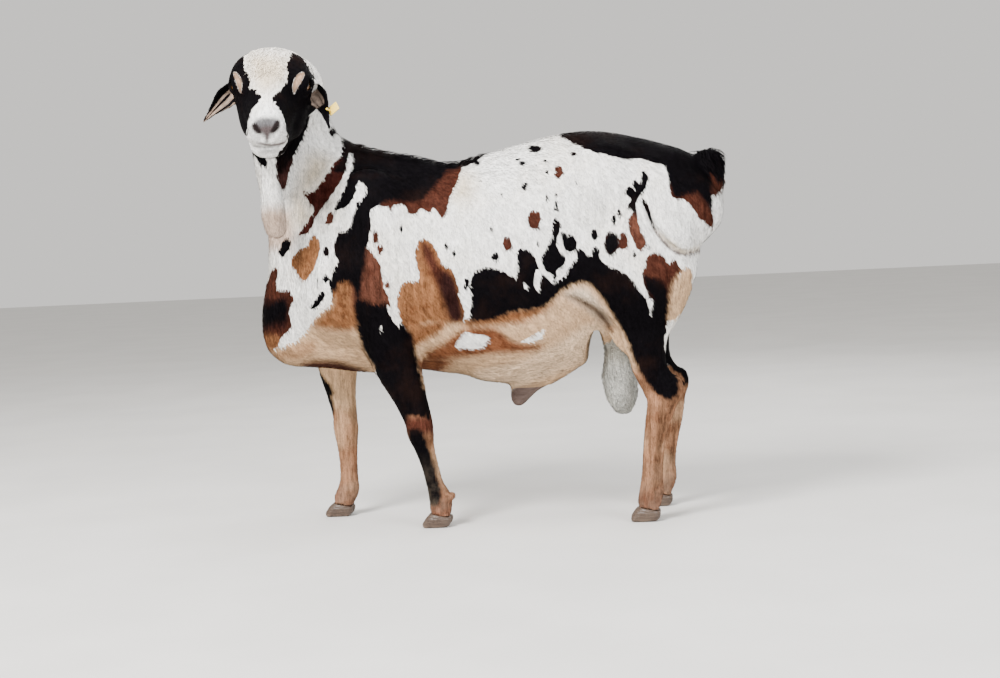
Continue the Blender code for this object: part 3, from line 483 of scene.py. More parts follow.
def trunk_forms():
    forms = [
        Tube([
            (-0.384, 0, 0.470, 0.085, 0.110),
            (-0.318, 0, 0.520, 0.118, 0.166),
            (-0.250, 0, 0.553, 0.130, 0.220),
            (-0.150, 0, 0.541, 0.138, 0.216),
            (-0.050, 0, 0.526, 0.150, 0.217),
            (0.050, 0, 0.536, 0.156, 0.232),
            (0.130, 0, 0.560, 0.148, 0.227),
            (0.200, 0, 0.604, 0.132, 0.195),
            (0.280, 0, 0.628, 0.118, 0.158),
            (0.350, 0, 0.636, 0.098, 0.110),
            (0.385, 0, 0.632, 0.075, 0.080),
        ], blend=0.04),
        Tube([
            (-0.300, 0, 0.752, 0.030, 0.038),
            (-0.200, 0, 0.732, 0.032, 0.034),
            (-0.090, 0, 0.708, 0.036, 0.032),
            (0.050, 0, 0.742, 0.046, 0.032),
            (0.200, 0, 0.765, 0.060, 0.033),
            (0.320, 0, 0.736, 0.050, 0.032),
            (0.385, 0, 0.704, 0.036, 0.030),
        ], blend=0.05),
        Tube([
            (-0.418, 0, 0.560, 0.034, 0.034),
            (-0.434, 0, 0.470, 0.048, 0.050),
            (-0.449, 0, 0.402, 0.052, 0.050),
            (-0.405, 0, 0.378, 0.050, 0.034),
            (-0.330, 0, 0.374, 0.050, 0.036),
            (-0.250, 0, 0.372, 0.060, 0.038),
        ], blend=0.05),
        Tube([
            (-0.020, 0, 0.330, 0.060, 0.028),
            (0.060, 0, 0.312, 0.045, 0.026),
            (0.115, 0, 0.312, 0.030, 0.022),
            (0.160, 0, 0.345, 0.026, 0.020),
        ], blend=0.04),
    ]
    for s in SIDES:
        forms += [
            Lump((-0.245, s * 0.098, 0.630), (0.075, 0.034, 0.120), blend=0.05),
            Lump((-0.300, s * 0.088, 0.500), (0.085, 0.048, 0.085), blend=0.05),
            Lump((0.020, s * 0.075, 0.470), (0.160, 0.080, 0.140), blend=0.06),
            Lump((0.245, s * 0.086, 0.700), (0.070, 0.040, 0.070), blend=0.05),
            Lump((0.350, s * 0.070, 0.620), (0.060, 0.060, 0.120), blend=0.05),
        ]
    return forms


def neck_forms():
    return [
        Tube([
            (-0.300, 0, 0.600, 0.090, 0.150),
            (-0.345, 0, 0.690, 0.078, 0.122),
            (-0.392, 0, 0.780, 0.070, 0.090),
            (-0.412, -0.004, 0.860, 0.066, 0.076),
            (-0.424, -0.030, 0.915, 0.066, 0.068),
            (-0.428, -0.070, 0.945, 0.066, 0.064),
        ], blend=0.05),
        Tube([
            (-0.455, -0.070, 0.870, 0.040, 0.034),
            (-0.458, -0.030, 0.780, 0.034, 0.036),
            (-0.436, -0.005, 0.680, 0.034, 0.040),
            (-0.411, 0, 0.590, 0.038, 0.040),
        ], blend=0.05),
    ]


DEWLAP_LINE = [
    (-0.424, -0.215, 0.800, 0.010, 0.022),
    (-0.424, -0.205, 0.758, 0.010, 0.018),
    (-0.426, -0.190, 0.715, 0.016, 0.022),
    (-0.428, -0.175, 0.670, 0.025, 0.026),
    (-0.427, -0.165, 0.640, 0.023, 0.024),
]


def dewlap_forms():
    return [
        Tube(DEWLAP_LINE, blend=0.02),
        Tube([
            (-0.426, -0.190, 0.820, 0.020, 0.028),
            (-0.434, -0.140, 0.800, 0.014, 0.040),
            (-0.444, -0.085, 0.770, 0.014, 0.050),
            (-0.452, -0.030, 0.720, 0.020, 0.040),
        ], side=(1, 0, 0), blend=0.03),
        Lump((-0.432, -0.100, 0.850), (0.040, 0.070, 0.045), blend=0.03),
        Lump((-0.389, -0.050, 0.922), (0.055, 0.048, 0.066), blend=0.03),
    ]


def fore_leg(s):
    """Near foreleg (s = -1) stands back, the far one forward."""
    if s < 0:
        line = [
            (-0.245, -0.100, 0.520, 0.045, 0.070),
            (-0.218, -0.098, 0.410, 0.044, 0.058),
            (-0.203, -0.096, 0.345, 0.038, 0.049),
            (-0.180, -0.094, 0.275, 0.029, 0.035),
            (-0.165, -0.092, 0.225, 0.026, 0.029),
            (-0.162, -0.091, 0.200, 0.027, 0.028),
            (-0.156, -0.090, 0.170, 0.0205, 0.0215),
            (-0.147, -0.090, 0.135, 0.0170, 0.0180),
            (-0.137, -0.090, 0.090, 0.0170, 0.0180),
            (-0.127, -0.090, 0.058, 0.0215, 0.0235),
            (-0.127, -0.090, 0.038, 0.0220, 0.0230),
        ]
    else:
        line = [
            (-0.330, 0.095, 0.500, 0.045, 0.070),
            (-0.355, 0.094, 0.400, 0.044, 0.056),
            (-0.366, 0.092, 0.335, 0.037, 0.045),
            (-0.362, 0.090, 0.275, 0.029, 0.033),
            (-0.356, 0.088, 0.225, 0.026, 0.027),
            (-0.355, 0.087, 0.195, 0.027, 0.0275),
            (-0.354, 0.086, 0.165, 0.023, 0.024),
            (-0.353, 0.085, 0.130, 0.0185, 0.0205),
            (-0.353, 0.085, 0.085, 0.0180, 0.0200),
            (-0.356, 0.085, 0.058, 0.0215, 0.0235),
            (-0.366, 0.085, 0.038, 0.0220, 0.0230),
        ]
    return [Tube(line, blend=0.03)]


def hind_leg(s):
    back = 0.0 if s < 0 else 0.030
    y = s * 0.092
    line = [
        (0.330, s * 0.094, 0.560, 0.050, 0.100),
        (0.322, s * 0.100, 0.480, 0.048, 0.086),
        (0.303 + back * 0.1, s * 0.100, 0.410, 0.042, 0.066),
        (0.311 + back * 0.2, s * 0.097, 0.360, 0.034, 0.045),
        (0.322 + back * 0.3, s * 0.094, 0.312, 0.027, 0.035),
        (0.341 + back * 0.4, y, 0.270, 0.0245, 0.035),
        (0.343 + back * 0.6, y, 0.245, 0.0245, 0.031),
        (0.331 + back, y, 0.200, 0.0210, 0.0250),
        (0.322 + back, y, 0.150, 0.0190, 0.0220),
        (0.317 + back * 0.9, y, 0.100, 0.0185, 0.0215),
        (0.314 + back * 0.9, y, 0.062, 0.0215, 0.0250),
        (0.308 + back * 0.8, y, 0.038, 0.0220, 0.0240),
    ]
    return [
        Tube(line, blend=0.03),
        Lump((0.300, s * 0.118, 0.520), (0.080, 0.030, 0.110), (0.35, 0, -1), (1, 0, 0), 0.05),
        Lump((0.375 + back * 0.4, y, 0.272), (0.012, 0.014, 0.022), blend=0.02),
    ]


FEET = {
    "foreleg_left": (-0.134, -0.090),
    "foreleg_right": (-0.376, 0.085),
    "hindleg_left": (0.301, -0.092),
    "hindleg_right": (0.326, 0.092),
}
CLAW_OFFSET = 0.0150


def dewclaw_forms(foot):
    """Two small knobs behind the fetlock."""
    x, y = FEET[foot]
    places = [(x + 0.030, y + s * 0.014, 0.062) for s in SIDES]
    return [Lump(place, (0.0085, 0.0065, 0.0085), (1, 0, -1), (1, 0, 1), 0.006) for place in places]


def claw_cleft(foot):
    """The split between the two claws."""
    x, y = FEET[foot]
    return Lump((x - 0.018, y, 0.000), (0.034, 0.0022, 0.026), blend=0.003)


def claw_forms(foot):
    x, y = FEET[foot]
    forms = []
    for s in SIDES:
        forms.append(Tube([
            (x - 0.022, y + s * CLAW_OFFSET * 0.9, 0.006, 0.0110, 0.010),
            (x - 0.006, y + s * CLAW_OFFSET, 0.014, 0.0135, 0.017),
            (x + 0.012, y + s * CLAW_OFFSET, 0.016, 0.0130, 0.018),
        ], blend=0.008))
    return forms


def tail_forms():
    forms = [
        Tube([
            (0.330, 0, 0.725, 0.060, 0.045),
            (0.395, 0, 0.705, 0.070, 0.052),
            (0.425, 0, 0.650, 0.060, 0.050),
            (0.425, 0, 0.610, 0.040, 0.040),
        ], blend=0.03),
    ]
    for s in SIDES:
        forms.append(Lump((0.398, s * 0.062, 0.640), (0.074, 0.062, 0.088), (0.25, 0, 1), (1, 0, 0), 0.03))
    return forms


def tail_tip_forms():
    return [Tube([
        (0.445, -0.012, 0.610, 0.020, 0.018),
        (0.464, -0.012, 0.650, 0.026, 0.020),
        (0.462, -0.012, 0.700, 0.030, 0.024),
        (0.452, -0.010, 0.738, 0.026, 0.020),
        (0.474, -0.008, 0.744, 0.018, 0.012),
        (0.483, -0.008, 0.722, 0.010, 0.008),
    ], blend=0.02)]


def scrotum_forms():
    return [Tube([
        (0.262, 0, 0.420, 0.034, 0.036),
        (0.258, 0, 0.350, 0.036, 0.038),
        (0.256, 0, 0.300, 0.039, 0.038),
        (0.258, 0, 0.255, 0.037, 0.032),
        (0.260, 0, 0.236, 0.025, 0.023),
    ], blend=0.012)]


def sheath_forms():
    return [Tube([
        (0.085, 0, 0.308, 0.028, 0.030),
        (0.060, 0, 0.284, 0.022, 0.026),
        (0.044, 0, 0.264, 0.018, 0.022),
        (0.039, 0, 0.252, 0.016, 0.016),
    ], blend=0.02)]


# Flesh: everything that one skin covers


def flesh_forms():
    forms = trunk_forms() + neck_forms() + head_forms() + lid_forms()
    forms += dewlap_forms() + tail_forms() + tail_tip_forms()
    forms += scrotum_forms() + sheath_forms()
    for s in SIDES:
        forms += fore_leg(s) + hind_leg(s) + [ear_form(s)]
    for foot in FEET:
        forms += claw_forms(foot) + dewclaw_forms(foot)
    return forms


def flesh_cuts():
    cuts = mouth_forms() + lid_slits()
    cuts += [ear_cup(s) for s in SIDES]
    cuts += [claw_cleft(foot) for foot in FEET]
    return cuts


FORMS = flesh_forms()
CUTS = flesh_cuts()


def flesh(points):
    """Signed distance to the flesh, cut flat where the feet stand."""
    return np.maximum(carve(heap(FORMS, points), CUTS, points), -points[:, 2])


# Folds that only the fine skin shows


def both_sides(stations, **settings):
    return [Tube([(x, s * y, z, w, d) for x, y, z, w, d in stations], **settings) for s in SIDES]


def fold_forms():
    """Creases: under the tail's lobes, from the flank to the groin, and round the elbow."""
    folds = both_sides([
        (0.318, 0.132, 0.668, 0.008, 0.003),
        (0.338, 0.150, 0.612, 0.014, 0.0045),
        (0.364, 0.154, 0.572, 0.018, 0.0055),
        (0.394, 0.147, 0.551, 0.020, 0.0060),
        (0.432, 0.118, 0.552, 0.020, 0.0060),
        (0.452, 0.060, 0.556, 0.020, 0.0055),
    ], blend=0.005)
    folds += both_sides([
        (0.322, 0.160, 0.612, 0.010, 0.010),
        (0.352, 0.166, 0.556, 0.018, 0.016),
        (0.394, 0.160, 0.530, 0.020, 0.016),
        (0.440, 0.124, 0.530, 0.018, 0.014),
    ], blend=0.020)
    folds += both_sides([
        (0.160, 0.152, 0.476, 0.002, 0.002),
        (0.196, 0.142, 0.444, 0.009, 0.009),
        (0.234, 0.124, 0.412, 0.013, 0.013),
        (0.264, 0.108, 0.368, 0.013, 0.013),
        (0.284, 0.092, 0.325, 0.006, 0.006),
    ], blend=0.010)
    folds.append(Tube([
        (-0.272, -0.154, 0.490, 0.003, 0.003),
        (-0.272, -0.138, 0.425, 0.009, 0.009),
        (-0.268, -0.120, 0.370, 0.009, 0.009),
    ], blend=0.012))
    folds.append(Tube([
        (-0.190, -0.152, 0.460, 0.003, 0.003),
        (-0.168, -0.136, 0.412, 0.009, 0.009),
        (-0.148, -0.110, 0.352, 0.009, 0.009),
    ], blend=0.012))
    folds.append(Lump((-0.523, -0.010, 0.314), (0.070, 0.090, 0.040), (1, 0, -0.6), (0.6, 0, 1), 0.03))
    folds.append(Tube([
        (0.216, -0.084, 0.358, 0.012, 0.034),
        (0.209, -0.040, 0.350, 0.017, 0.050),
        (0.209, 0.040, 0.350, 0.017, 0.050),
        (0.216, 0.084, 0.358, 0.012, 0.034),
    ], side=(1, 0, 0), blend=0.014))
    return folds


def eye_beds():
    return [Lump(eye_centre(s), [EYE_RADIUS + NODE_GAP] * 3, blend=0.0005) for s in SIDES]


def coronet(foot):
    """Point on the coronet's plane, and its normal."""
    x, y = FEET[foot]
    slope = math.radians(CORONET_SLOPE)
    normal = np.array([math.sin(slope), 0, math.cos(slope)])
    return np.array([x - 0.005, y, HOOF_TOP - HOOF_REACH]) + normal * HOOF_REACH, normal


def ease(low, high, values):
    """0 below low, 1 above high, smooth between."""
    t = np.clip((values - low) / (high - low), 0, 1)
    return t * t * (3 - 2 * t)


def sloping(degrees):
    """Normal of a plane that rises towards -Y."""
    return np.array([0, -math.sin(math.radians(degrees)), math.cos(math.radians(degrees))])


NAPE_POINT = np.array([-0.430, -0.055, 0.900])
NAPE_NORMAL = sloping(53)
JAW_POINT = np.array([-0.430, -0.200, 0.796])
JAW_NORMAL = sloping(16.7)


def on_head(points):
    """1 on the head, 0 on the neck and throat."""
    nape = (points - NAPE_POINT) @ NAPE_NORMAL
    jaw = (points - JAW_POINT) @ JAW_NORMAL
    return ease(-0.010, 0.010, np.minimum(nape, jaw))


def coat_depth(points):
    trunk = ease(0.36, 0.46, points[:, 2]) * (1 - on_head(points))
    return THIN_COAT + (COAT_DEPTH - THIN_COAT) * trunk


SKIN_CUTS = fold_forms() + eye_beds()
FOOT_ZONE = 0.08                    # a foot is looked for this near and this low
CORONET_GAP = 0.0004                # the skin ends this far above the coronet


def skin_form(points):
    """Distance to the skin: the flesh less its coat, with folds, ending at the coronets."""
    distance = carve(flesh(points), SKIN_CUTS, points) + coat_depth(points)
    for foot in FEET:
        place, normal = coronet(foot)
        below = (points[:, 2] < FOOT_ZONE) & (np.abs(points[:, :2] - FEET[foot]).max(1) < FOOT_ZONE)
        if below.any():
            distance[below] = np.maximum(distance[below], (place - points[below]) @ normal + CORONET_GAP)
    return distance


def skin_lines():
    return [
        grid_lines(-0.64, 0.53, SIDE_GRID, [(-0.60, -0.30, HEAD_GRID)]),
        grid_lines(-0.36, 0.20, BODY_GRID, [(-0.36, -0.07, HEAD_GRID), (-0.15, 0.15, LIMB_GRID)]),
        grid_lines(-0.02, 1.06, SIDE_GRID, [(0.76, 1.03, HEAD_GRID)]),
    ]


def largest_shell(vertices, faces):
    """Only the largest connected surface stays."""
    label = np.arange(len(vertices))
    while True:
        low = label[faces].min(1)
        fresh = label.copy()
        for corner in faces.T:
            np.minimum.at(fresh, corner, low)
        fresh = fresh[fresh]
        if (fresh == label).all():
            break
        label = fresh
    main = np.bincount(label).argmax()
    faces = faces[label[faces[:, 0]] == main]
    used, faces = np.unique(faces, return_inverse=True)
    return vertices[used], faces.reshape(-1, 4)


# The camera, round the middle plane of the body, and the photo's frame
FRAME_WIDTH, FRAME_HEIGHT = 1000, 678
FOCAL = 1674                        # focal length in pixels of that frame
SENSOR = 36.0                       # its width in millimetres
CAMERA_PLACE = np.array([0.376, -3.530, 0.620])
CAMERA_TURN = math.radians(6)
CAMERA_PITCH = math.radians(3.85)   # looks down
CAMERA_ROLL = math.radians(2.8)


def camera_axes():
    """Right, up and forward."""
    across = np.array([math.cos(CAMERA_TURN), math.sin(CAMERA_TURN), 0])
    level = np.array([-math.sin(CAMERA_TURN), math.cos(CAMERA_TURN), 0])
    rise = np.array([0, 0, 1.0])
    forward = level * math.cos(CAMERA_PITCH) - rise * math.sin(CAMERA_PITCH)
    up = level * math.sin(CAMERA_PITCH) + rise * math.cos(CAMERA_PITCH)
    right = across * math.cos(CAMERA_ROLL) - up * math.sin(CAMERA_ROLL)
    up = up * math.cos(CAMERA_ROLL) + across * math.sin(CAMERA_ROLL)
    return right, up, forward


def on_frame(points):
    """Where points lie in the photo's frame, in pixels."""
    right, up, forward = camera_axes()
    away = points - CAMERA_PLACE
    depth = away @ forward
    return np.stack([
        FRAME_WIDTH / 2 + FOCAL * (away @ right) / depth,
        FRAME_HEIGHT / 2 - FOCAL * (away @ up) / depth,
    ], 1)


# Markings: outlines in pixels of the photo's frame, laid on the left side and, bent a little, on the right
PIXEL = 0.0021                      # metres to a pixel at the ram's distance
MARK_REACH = 0.025                  # distances to a marking's edge are kept up to this
FULL = 12                           # pixels from its edge at which a marking is full or gone
CLEAR = 26                          # pixels taken off a marking where none may show
WHITE = (0.930, 0.920, 0.895)
CREAM = (0.720, 0.620, 0.480)
BLUSH = (0.520, 0.390, 0.315)
GREY = (0.360, 0.360, 0.360)
# dark of the nose tip, also used as painted shade in the creases of the tail, the mouth and the lip
NOSE_AND_CREASE_SHADE = (0.120, 0.095, 0.095)
# painted shade inside the nostrils
NOSTRIL_SHADE = (0.012, 0.009, 0.009)
PATCH_TAN = (0.400, 0.260, 0.175)
WOOL = (0.490, 0.490, 0.450)
SHEATH = (0.210, 0.150, 0.130)
TAN = (0.580, 0.380, 0.225)
ORANGE = (0.222, 0.097, 0.043)
RUST = (0.174, 0.066, 0.031)
LEG_TAN = (0.262, 0.131, 0.072)
RUSSET = (0.087, 0.033, 0.021)
RED = (0.057, 0.019, 0.012)
DARK = (0.021, 0.008, 0.007)
BLACK = (0.0029, 0.0024, 0.0031)

# Soft tints of the white coat, among them painted shade in the crease under the tail: (colour, softness in
# pixels, outline)
BODY_TINTS = {
    "dewlap_lobe": (BLUSH, 9, [(258, 210), (292, 210), (292, 246), (258, 246)]),
    "neck_cream": (CREAM, 14, [(308, 156), (330, 160), (318, 184), (300, 190)]),
    "throat_cream": (CREAM, 12, [(292, 196), (306, 200), (310, 218), (296, 226)]),
    # cream tint of the tail's rim, with painted shade along the crease below it
    "tail_rim_tint_and_shade": (CREAM, 4, [(654, 228), (668, 245), (682, 254), (700, 247), (684, 248), (668, 238)]),
    # painted shade: a dark line along the crease under the tail's lobes
    "tail_crease_shade": (NOSE_AND_CREASE_SHADE, 1.3, [
        (642, 197), (648, 212), (656, 229), (668, 244), (682, 252.5), (698, 248), (708, 240), (698, 250.5),
        (682, 255), (667, 247), (654, 231), (646, 213),
    ]),
    "saddle_shade": (CREAM, 14, [(454, 176), (470, 172), (472, 196), (454, 200)]),
}
# Brown markings, each over the one before, among them painted shade and a painted highlight at the flank's
# fold: (colour, outline)
BODY_BROWNS = {
    "belly": (TAN, [
        (402, 336), (414, 324), (444, 319), (463, 322), (480, 314), (515, 302), (545, 294), (562, 280),
        (578, 272), (598, 276), (616, 296), (630, 322), (644, 356), (656, 392), (600, 430), (420, 430),
        (400, 370),
    ]),
    "belly_stripe": (RUST, [
        (424, 352), (440, 343), (452, 334), (464, 327), (486, 326), (498, 328), (508, 336), (518, 341),
        (542, 344), (536, 350), (514, 353), (480, 355), (446, 360), (428, 362),
    ]),
    "belly_rust": (ORANGE, [
        (462, 320), (500, 310), (545, 304), (556, 300), (530, 320), (494, 326), (466, 327),
    ]),
    "belly_top_left": (ORANGE, [(404, 330), (420, 322), (448, 320), (440, 332), (420, 344), (408, 350)]),
    "belly_front": (RUST, [(416, 358), (438, 357), (452, 362), (438, 373), (420, 373)]),
    "belly_pale": ((0.720, 0.520, 0.345), [
        (470, 372), (520, 360), (560, 340), (596, 320), (610, 350), (560, 372), (500, 392),
    ]),
    # pale skin of the fold from the flank to the stifle, with a painted highlight along its edge
    "flank_fold_pale_and_highlight": ((0.670, 0.530, 0.390), [
        (562, 294), (582, 286), (598, 300), (612, 322), (600, 322), (582, 306),
    ]),
    # painted shade: a dark line in the crease from the flank to the stifle
    "flank_crease_shade": ((0.044, 0.019, 0.011), [
        (564, 294), (576, 294), (592, 302), (606, 314), (614, 330), (609, 331), (600, 320), (588, 309),
        (574, 301),
    ]),
    "rib_patch": (ORANGE, [
        (419, 240), (426, 238), (434, 246), (441, 262), (452, 271), (458, 286), (461, 302), (463, 319),
        (444, 324), (424, 323), (416, 334), (405, 327), (398, 312), (397, 300), (401, 284), (411, 281),
        (419, 279), (417, 266), (415, 254),
    ]),
    "rib_red": (RED, [
        (420, 242), (427, 241), (434, 250), (440, 263), (450, 272), (456, 284), (460, 304), (454, 310),
        (446, 296), (436, 286), (428, 270), (422, 258),
    ]),
    "rib_dark": (DARK, [
        (440, 272), (452, 274), (459, 290), (464, 319), (450, 322), (443, 306), (438, 290),
    ]),
    "saddle_hem": (RED, [
        (388, 190), (390, 214), (394, 204), (404, 205), (408, 213), (416, 213), (421, 208), (430, 213),
        (433, 208), (441, 217), (447, 210), (450, 190), (452, 168), (436, 176), (410, 186),
    ]),
    "withers_rust": (RED, [
        (380, 176), (400, 182), (424, 170), (440, 150), (462, 160), (450, 196), (432, 208), (400, 204),
        (380, 205),
    ]),
    "throat_rust": ((0.044, 0.017, 0.015), [(276, 158), (293, 156), (289, 172), (284, 190), (278, 180)]),
    "neck_band": ((0.049, 0.013, 0.010), [
        (338, 158), (327, 174), (314, 191), (302, 190), (308, 200), (314, 210), (305, 224), (299, 235),
        (309, 231), (318, 214), (331, 198), (341, 182), (347, 168), (348, 156),
    ]),
    "throat_oval": (ORANGE, [
        (314, 233), (306, 247), (298, 250), (291, 262), (295, 270), (303, 280), (308, 277), (315, 266),
        (319, 252), (320, 243),
    ]),
    "collar_spot": (RED, [(331, 211), (334, 214), (332, 222), (325, 223), (327, 217)]),
    "brisket": (RED, [
        (273, 268), (264, 290), (250, 310), (255, 332), (262, 348), (272, 349), (281, 337), (290, 329),
        (291, 320), (289, 308), (294, 300), (288, 290), (280, 290), (276, 282), (279, 272),
    ]),
    "brisket_shade": (DARK, [
        (250, 298), (258, 301), (266, 295), (276, 298), (284, 294), (289, 301), (289, 318), (284, 330),
        (274, 328), (262, 333), (250, 330),
    ]),
    "brisket_tan": (ORANGE, [(255, 334), (262, 352), (273, 350), (281, 338), (272, 334)]),
    "brisket_keel": (TAN, [
        (262, 354), (272, 350), (292, 343), (308, 329), (318, 314), (332, 303), (345, 278), (356, 290),
        (359, 320), (364, 346), (376, 372), (340, 376), (300, 368), (262, 362),
    ]),
    "brisket_rust": (ORANGE, [
        (342, 268), (332, 288), (331, 303), (319, 314), (312, 326), (336, 330), (358, 328), (360, 300),
        (356, 272),
    ]),
    "keel_tan": ((0.400, 0.235, 0.130), [
        (262, 352), (276, 349), (298, 341), (316, 340), (312, 354), (296, 360), (268, 360),
    ]),
    "keel_under": (RED, [
        (300, 362), (318, 359), (336, 360), (352, 364), (366, 370), (368, 382), (336, 380), (304, 370),
    ]),
    "elbow_strip": (RUSSET, [
        (352, 250), (366, 246), (374, 255), (381, 268), (383, 286), (389, 298), (390, 318), (372, 318),
        (352, 306), (350, 272),
    ]),
    "thigh_patch": (RED, [
        (650, 254), (658, 252), (665, 258), (668, 263), (674, 258), (678, 264), (680, 271), (673, 284),
        (669, 304), (664, 330), (652, 300), (645, 288), (642, 278), (644, 264),
    ]),
    "rump_tan": (TAN, [
        (680, 272), (686, 266), (691, 272), (692, 290), (686, 306), (676, 318), (665, 319), (668, 300),
        (672, 282),
    ]),
    "hip_brown": (RUSSET, [
        (629, 216), (636, 212), (638, 222), (641, 232), (646, 240), (643, 248), (637, 249), (633, 240),
        (629, 229),
    ]),
    "tail_red": (RED, [
        (672, 180), (671, 197), (684, 199), (692, 206), (698, 216), (706, 222), (713, 229), (712, 215),
        (709, 200), (715, 194), (722, 188), (724, 160), (710, 158), (700, 186),
    ]),
}
BODY_BLACKS = {
    "withers": [
        (336, 120), (345, 142), (353, 160), (351, 176), (360, 181), (366, 190), (362, 205), (369, 210),
        (388, 200), (404, 201), (420, 200), (434, 186), (446, 172), (456, 169), (476, 161), (486, 146),
        (440, 130), (380, 120),
    ],
    "shoulder_stripe": [
        (364, 186), (371, 222), (366, 250), (365, 262), (362, 276), (358, 300), (353, 286), (346, 281),
        (338, 284), (332, 296), (329, 282), (333, 270), (338, 261), (334, 252), (338, 233), (349, 228),
        (356, 204),
    ],
    "neck_wedge": [(353, 158), (347, 183), (336, 204), (335, 211), (345, 211), (352, 200), (359, 184)],
    "band_top": [(341, 130), (341, 158), (333, 170), (344, 172), (350, 156), (352, 140)],
    "foreleg": [
        (354, 300), (372, 303), (388, 304), (391, 315), (400, 322), (411, 333), (414, 345), (419, 368),
        (424, 392), (427, 410), (412, 409), (405, 424), (400, 420), (390, 392), (374, 366), (360, 342),
    ],
    "foreleg_front": [
        (409, 430), (422, 431), (429, 448), (435, 467), (440, 487), (440, 503), (428, 503), (422, 482),
        (416, 462), (409, 446),
    ],
    "belly_band": [
        (470, 320), (470, 288), (474, 272), (484, 267), (500, 270), (511, 275), (516, 278), (517, 262),
        (517, 252), (523, 248), (531, 252), (537, 263), (540, 272), (547, 277), (550, 281), (560, 279),
        (566, 272), (572, 262), (577, 257), (575, 250), (581, 249), (588, 256), (597, 252), (602, 262),
        (614, 268), (630, 277), (644, 294), (655, 296), (664, 300), (667, 310), (664, 340), (667, 356),
        (676, 372), (680, 386), (677, 396), (668, 399), (656, 393), (648, 384), (636, 364), (628, 344),
        (620, 326), (611, 312), (602, 298), (590, 284), (578, 282), (564, 288), (552, 300), (538, 308),
        (515, 311), (495, 318),
    ],
    "belly_splash": [
        (553, 217), (560, 222), (559, 232), (556, 242), (559, 251), (564, 254), (566, 262), (560, 268),
        (552, 273), (545, 270), (541, 260), (545, 251), (549, 242), (552, 232),
    ],
    "flank_blot": [(561, 231), (566, 235), (571, 234), (577, 241), (575, 250), (568, 251), (563, 246)],
    "twin_blot": [(604, 240), (609, 231), (617, 233), (618, 247), (612, 255), (605, 251)],
    "hip_mark": [
        (642, 170), (648, 177), (645, 188), (641, 194), (636, 202), (636, 216), (631, 208), (625, 209),
        (631, 199), (623, 192), (630, 186), (636, 190), (634, 180), (640, 182),
    ],
    # painted shadow: a black line in the crease where the tail meets the rump
    "tail_crease_shadow_line": [(640, 196), (648, 205), (655, 228), (650, 222), (645, 208)],
    "thigh": [
        (643, 276), (652, 278), (662, 281), (668, 296), (664, 340), (655, 345), (654, 302), (646, 290),
    ],
    "rump_band": [
        (557, 120), (559, 136), (568, 141), (588, 150), (604, 154), (628, 159), (640, 158), (649, 162),
        (662, 164), (667, 172), (670, 185), (674, 196), (684, 194), (696, 192), (706, 202), (711, 210),
        (711, 190), (709, 164), (716, 160), (726, 170), (728, 140), (690, 120), (640, 104),
    ],
    "chest_smudge": [(288, 236), (291, 245), (284, 256), (279, 252), (282, 243)],
    "brisket_core": [
        (250, 308), (262, 306), (273, 303), (283, 299), (287, 306), (285, 320), (276, 322), (266, 325),
        (258, 318), (250, 324),
    ],
    "chest_spot": [(322, 291), (325, 295), (320, 303), (314, 309), (309, 308), (313, 302), (317, 297)],
    "throat": [
        (262, 146), (276, 158), (277, 168), (281, 173), (285, 168), (290, 161), (297, 149), (303, 137),
        (308, 123), (310, 108), (298, 104), (276, 120),
    ],
    "chin": [(252, 150), (256, 157), (261, 164), (266, 166), (266, 158), (262, 146)],
}
# White drips over the black
BODY_WHITES = {
    "neck_stripe": [
        (349, 152), (352, 161), (349, 174), (339, 189), (326, 207), (316, 222), (312, 232), (315, 219),
        (325, 204), (337, 187), (345, 172), (347, 160),
    ],
    "neck_dash": [(357, 183), (364, 184), (365, 192), (361, 201), (354, 199), (356, 190)],
    "neck_dash_low": [(352, 200), (356, 203), (348, 212), (346, 224), (340, 228), (334, 212), (345, 208)],
    "leg_drip": [(386, 305), (391, 307), (393, 313), (399, 321), (397, 326), (391, 319)],
    "band_drip": [(458, 290), (462, 296), (468, 286), (471, 302), (468, 319), (463, 306), (459, 299)],
    "band_fleck": [(523, 281), (528, 286), (525, 288)],
    "splash_gap": [(536, 270), (541, 274), (538, 291), (534, 284)],
    "thigh_drip": [(632, 280), (643, 289), (649, 298), (653, 299), (650, 315), (647, 303), (642, 294)],
    "belly_window": [(455, 346), (462, 333), (473, 334), (488, 336), (484, 345), (475, 349), (460, 348)],
    "belly_fleck": [(521, 342), (532, 335), (543, 330), (541, 338), (530, 342)],
}
# Spots by kind: (u, v, half width, half height) in pixels
BODY_SPOTS = {
    "black": [
        (534, 149, 7, 3.5), (476, 163, 4, 2.6), (522, 163, 4, 2.6), (517, 160, 2, 1.2), (524, 186, 3, 3),
        (501, 194, 1.4, 2.6), (556, 207, 2, 5), (495, 256, 4, 4), (594, 234, 3, 6), (596, 251, 4, 5),
        (554, 276, 2.4, 4.5), (326, 251, 3, 5), (326, 278, 3, 4), (317, 282, 1.6, 4), (332, 131, 3.2, 5),
        (614, 219, 2, 4.5), (619, 213, 1.6, 4), (573, 154, 3, 2.4), (576, 181, 1.2, 4), (547, 172, 1.4, 3),
        (480, 181, 1.4, 1.6), (401, 229, 1.4, 4), (537, 242, 1.2, 5), (466, 285, 2.4, 5), (635, 185, 3, 4),
        (555, 195, 1.2, 3), (546, 197, 1, 3), (454, 252, 1.4, 4), (446, 245, 1.2, 3), (603, 206, 1.2, 3),
        (555, 250, 1.6, 14), (545, 161, 2, 1.4), (648, 246, 1.4, 3), (634, 254, 1.2, 3), (491, 228, 1.2, 3),
    ],
    "brown": [
        (558, 172, 4.5, 6.5), (534, 219, 6.5, 9.5), (507, 243, 4.5, 7.5), (375, 237, 3, 7),
        (380, 249, 3, 4.5), (387, 283, 2.2, 4), (623, 241, 5, 9), (611, 243, 7, 11),
    ],
    "white": [
        (381, 327, 0.9, 2.6), (380, 330, 1.4, 1.0),
    ],
}
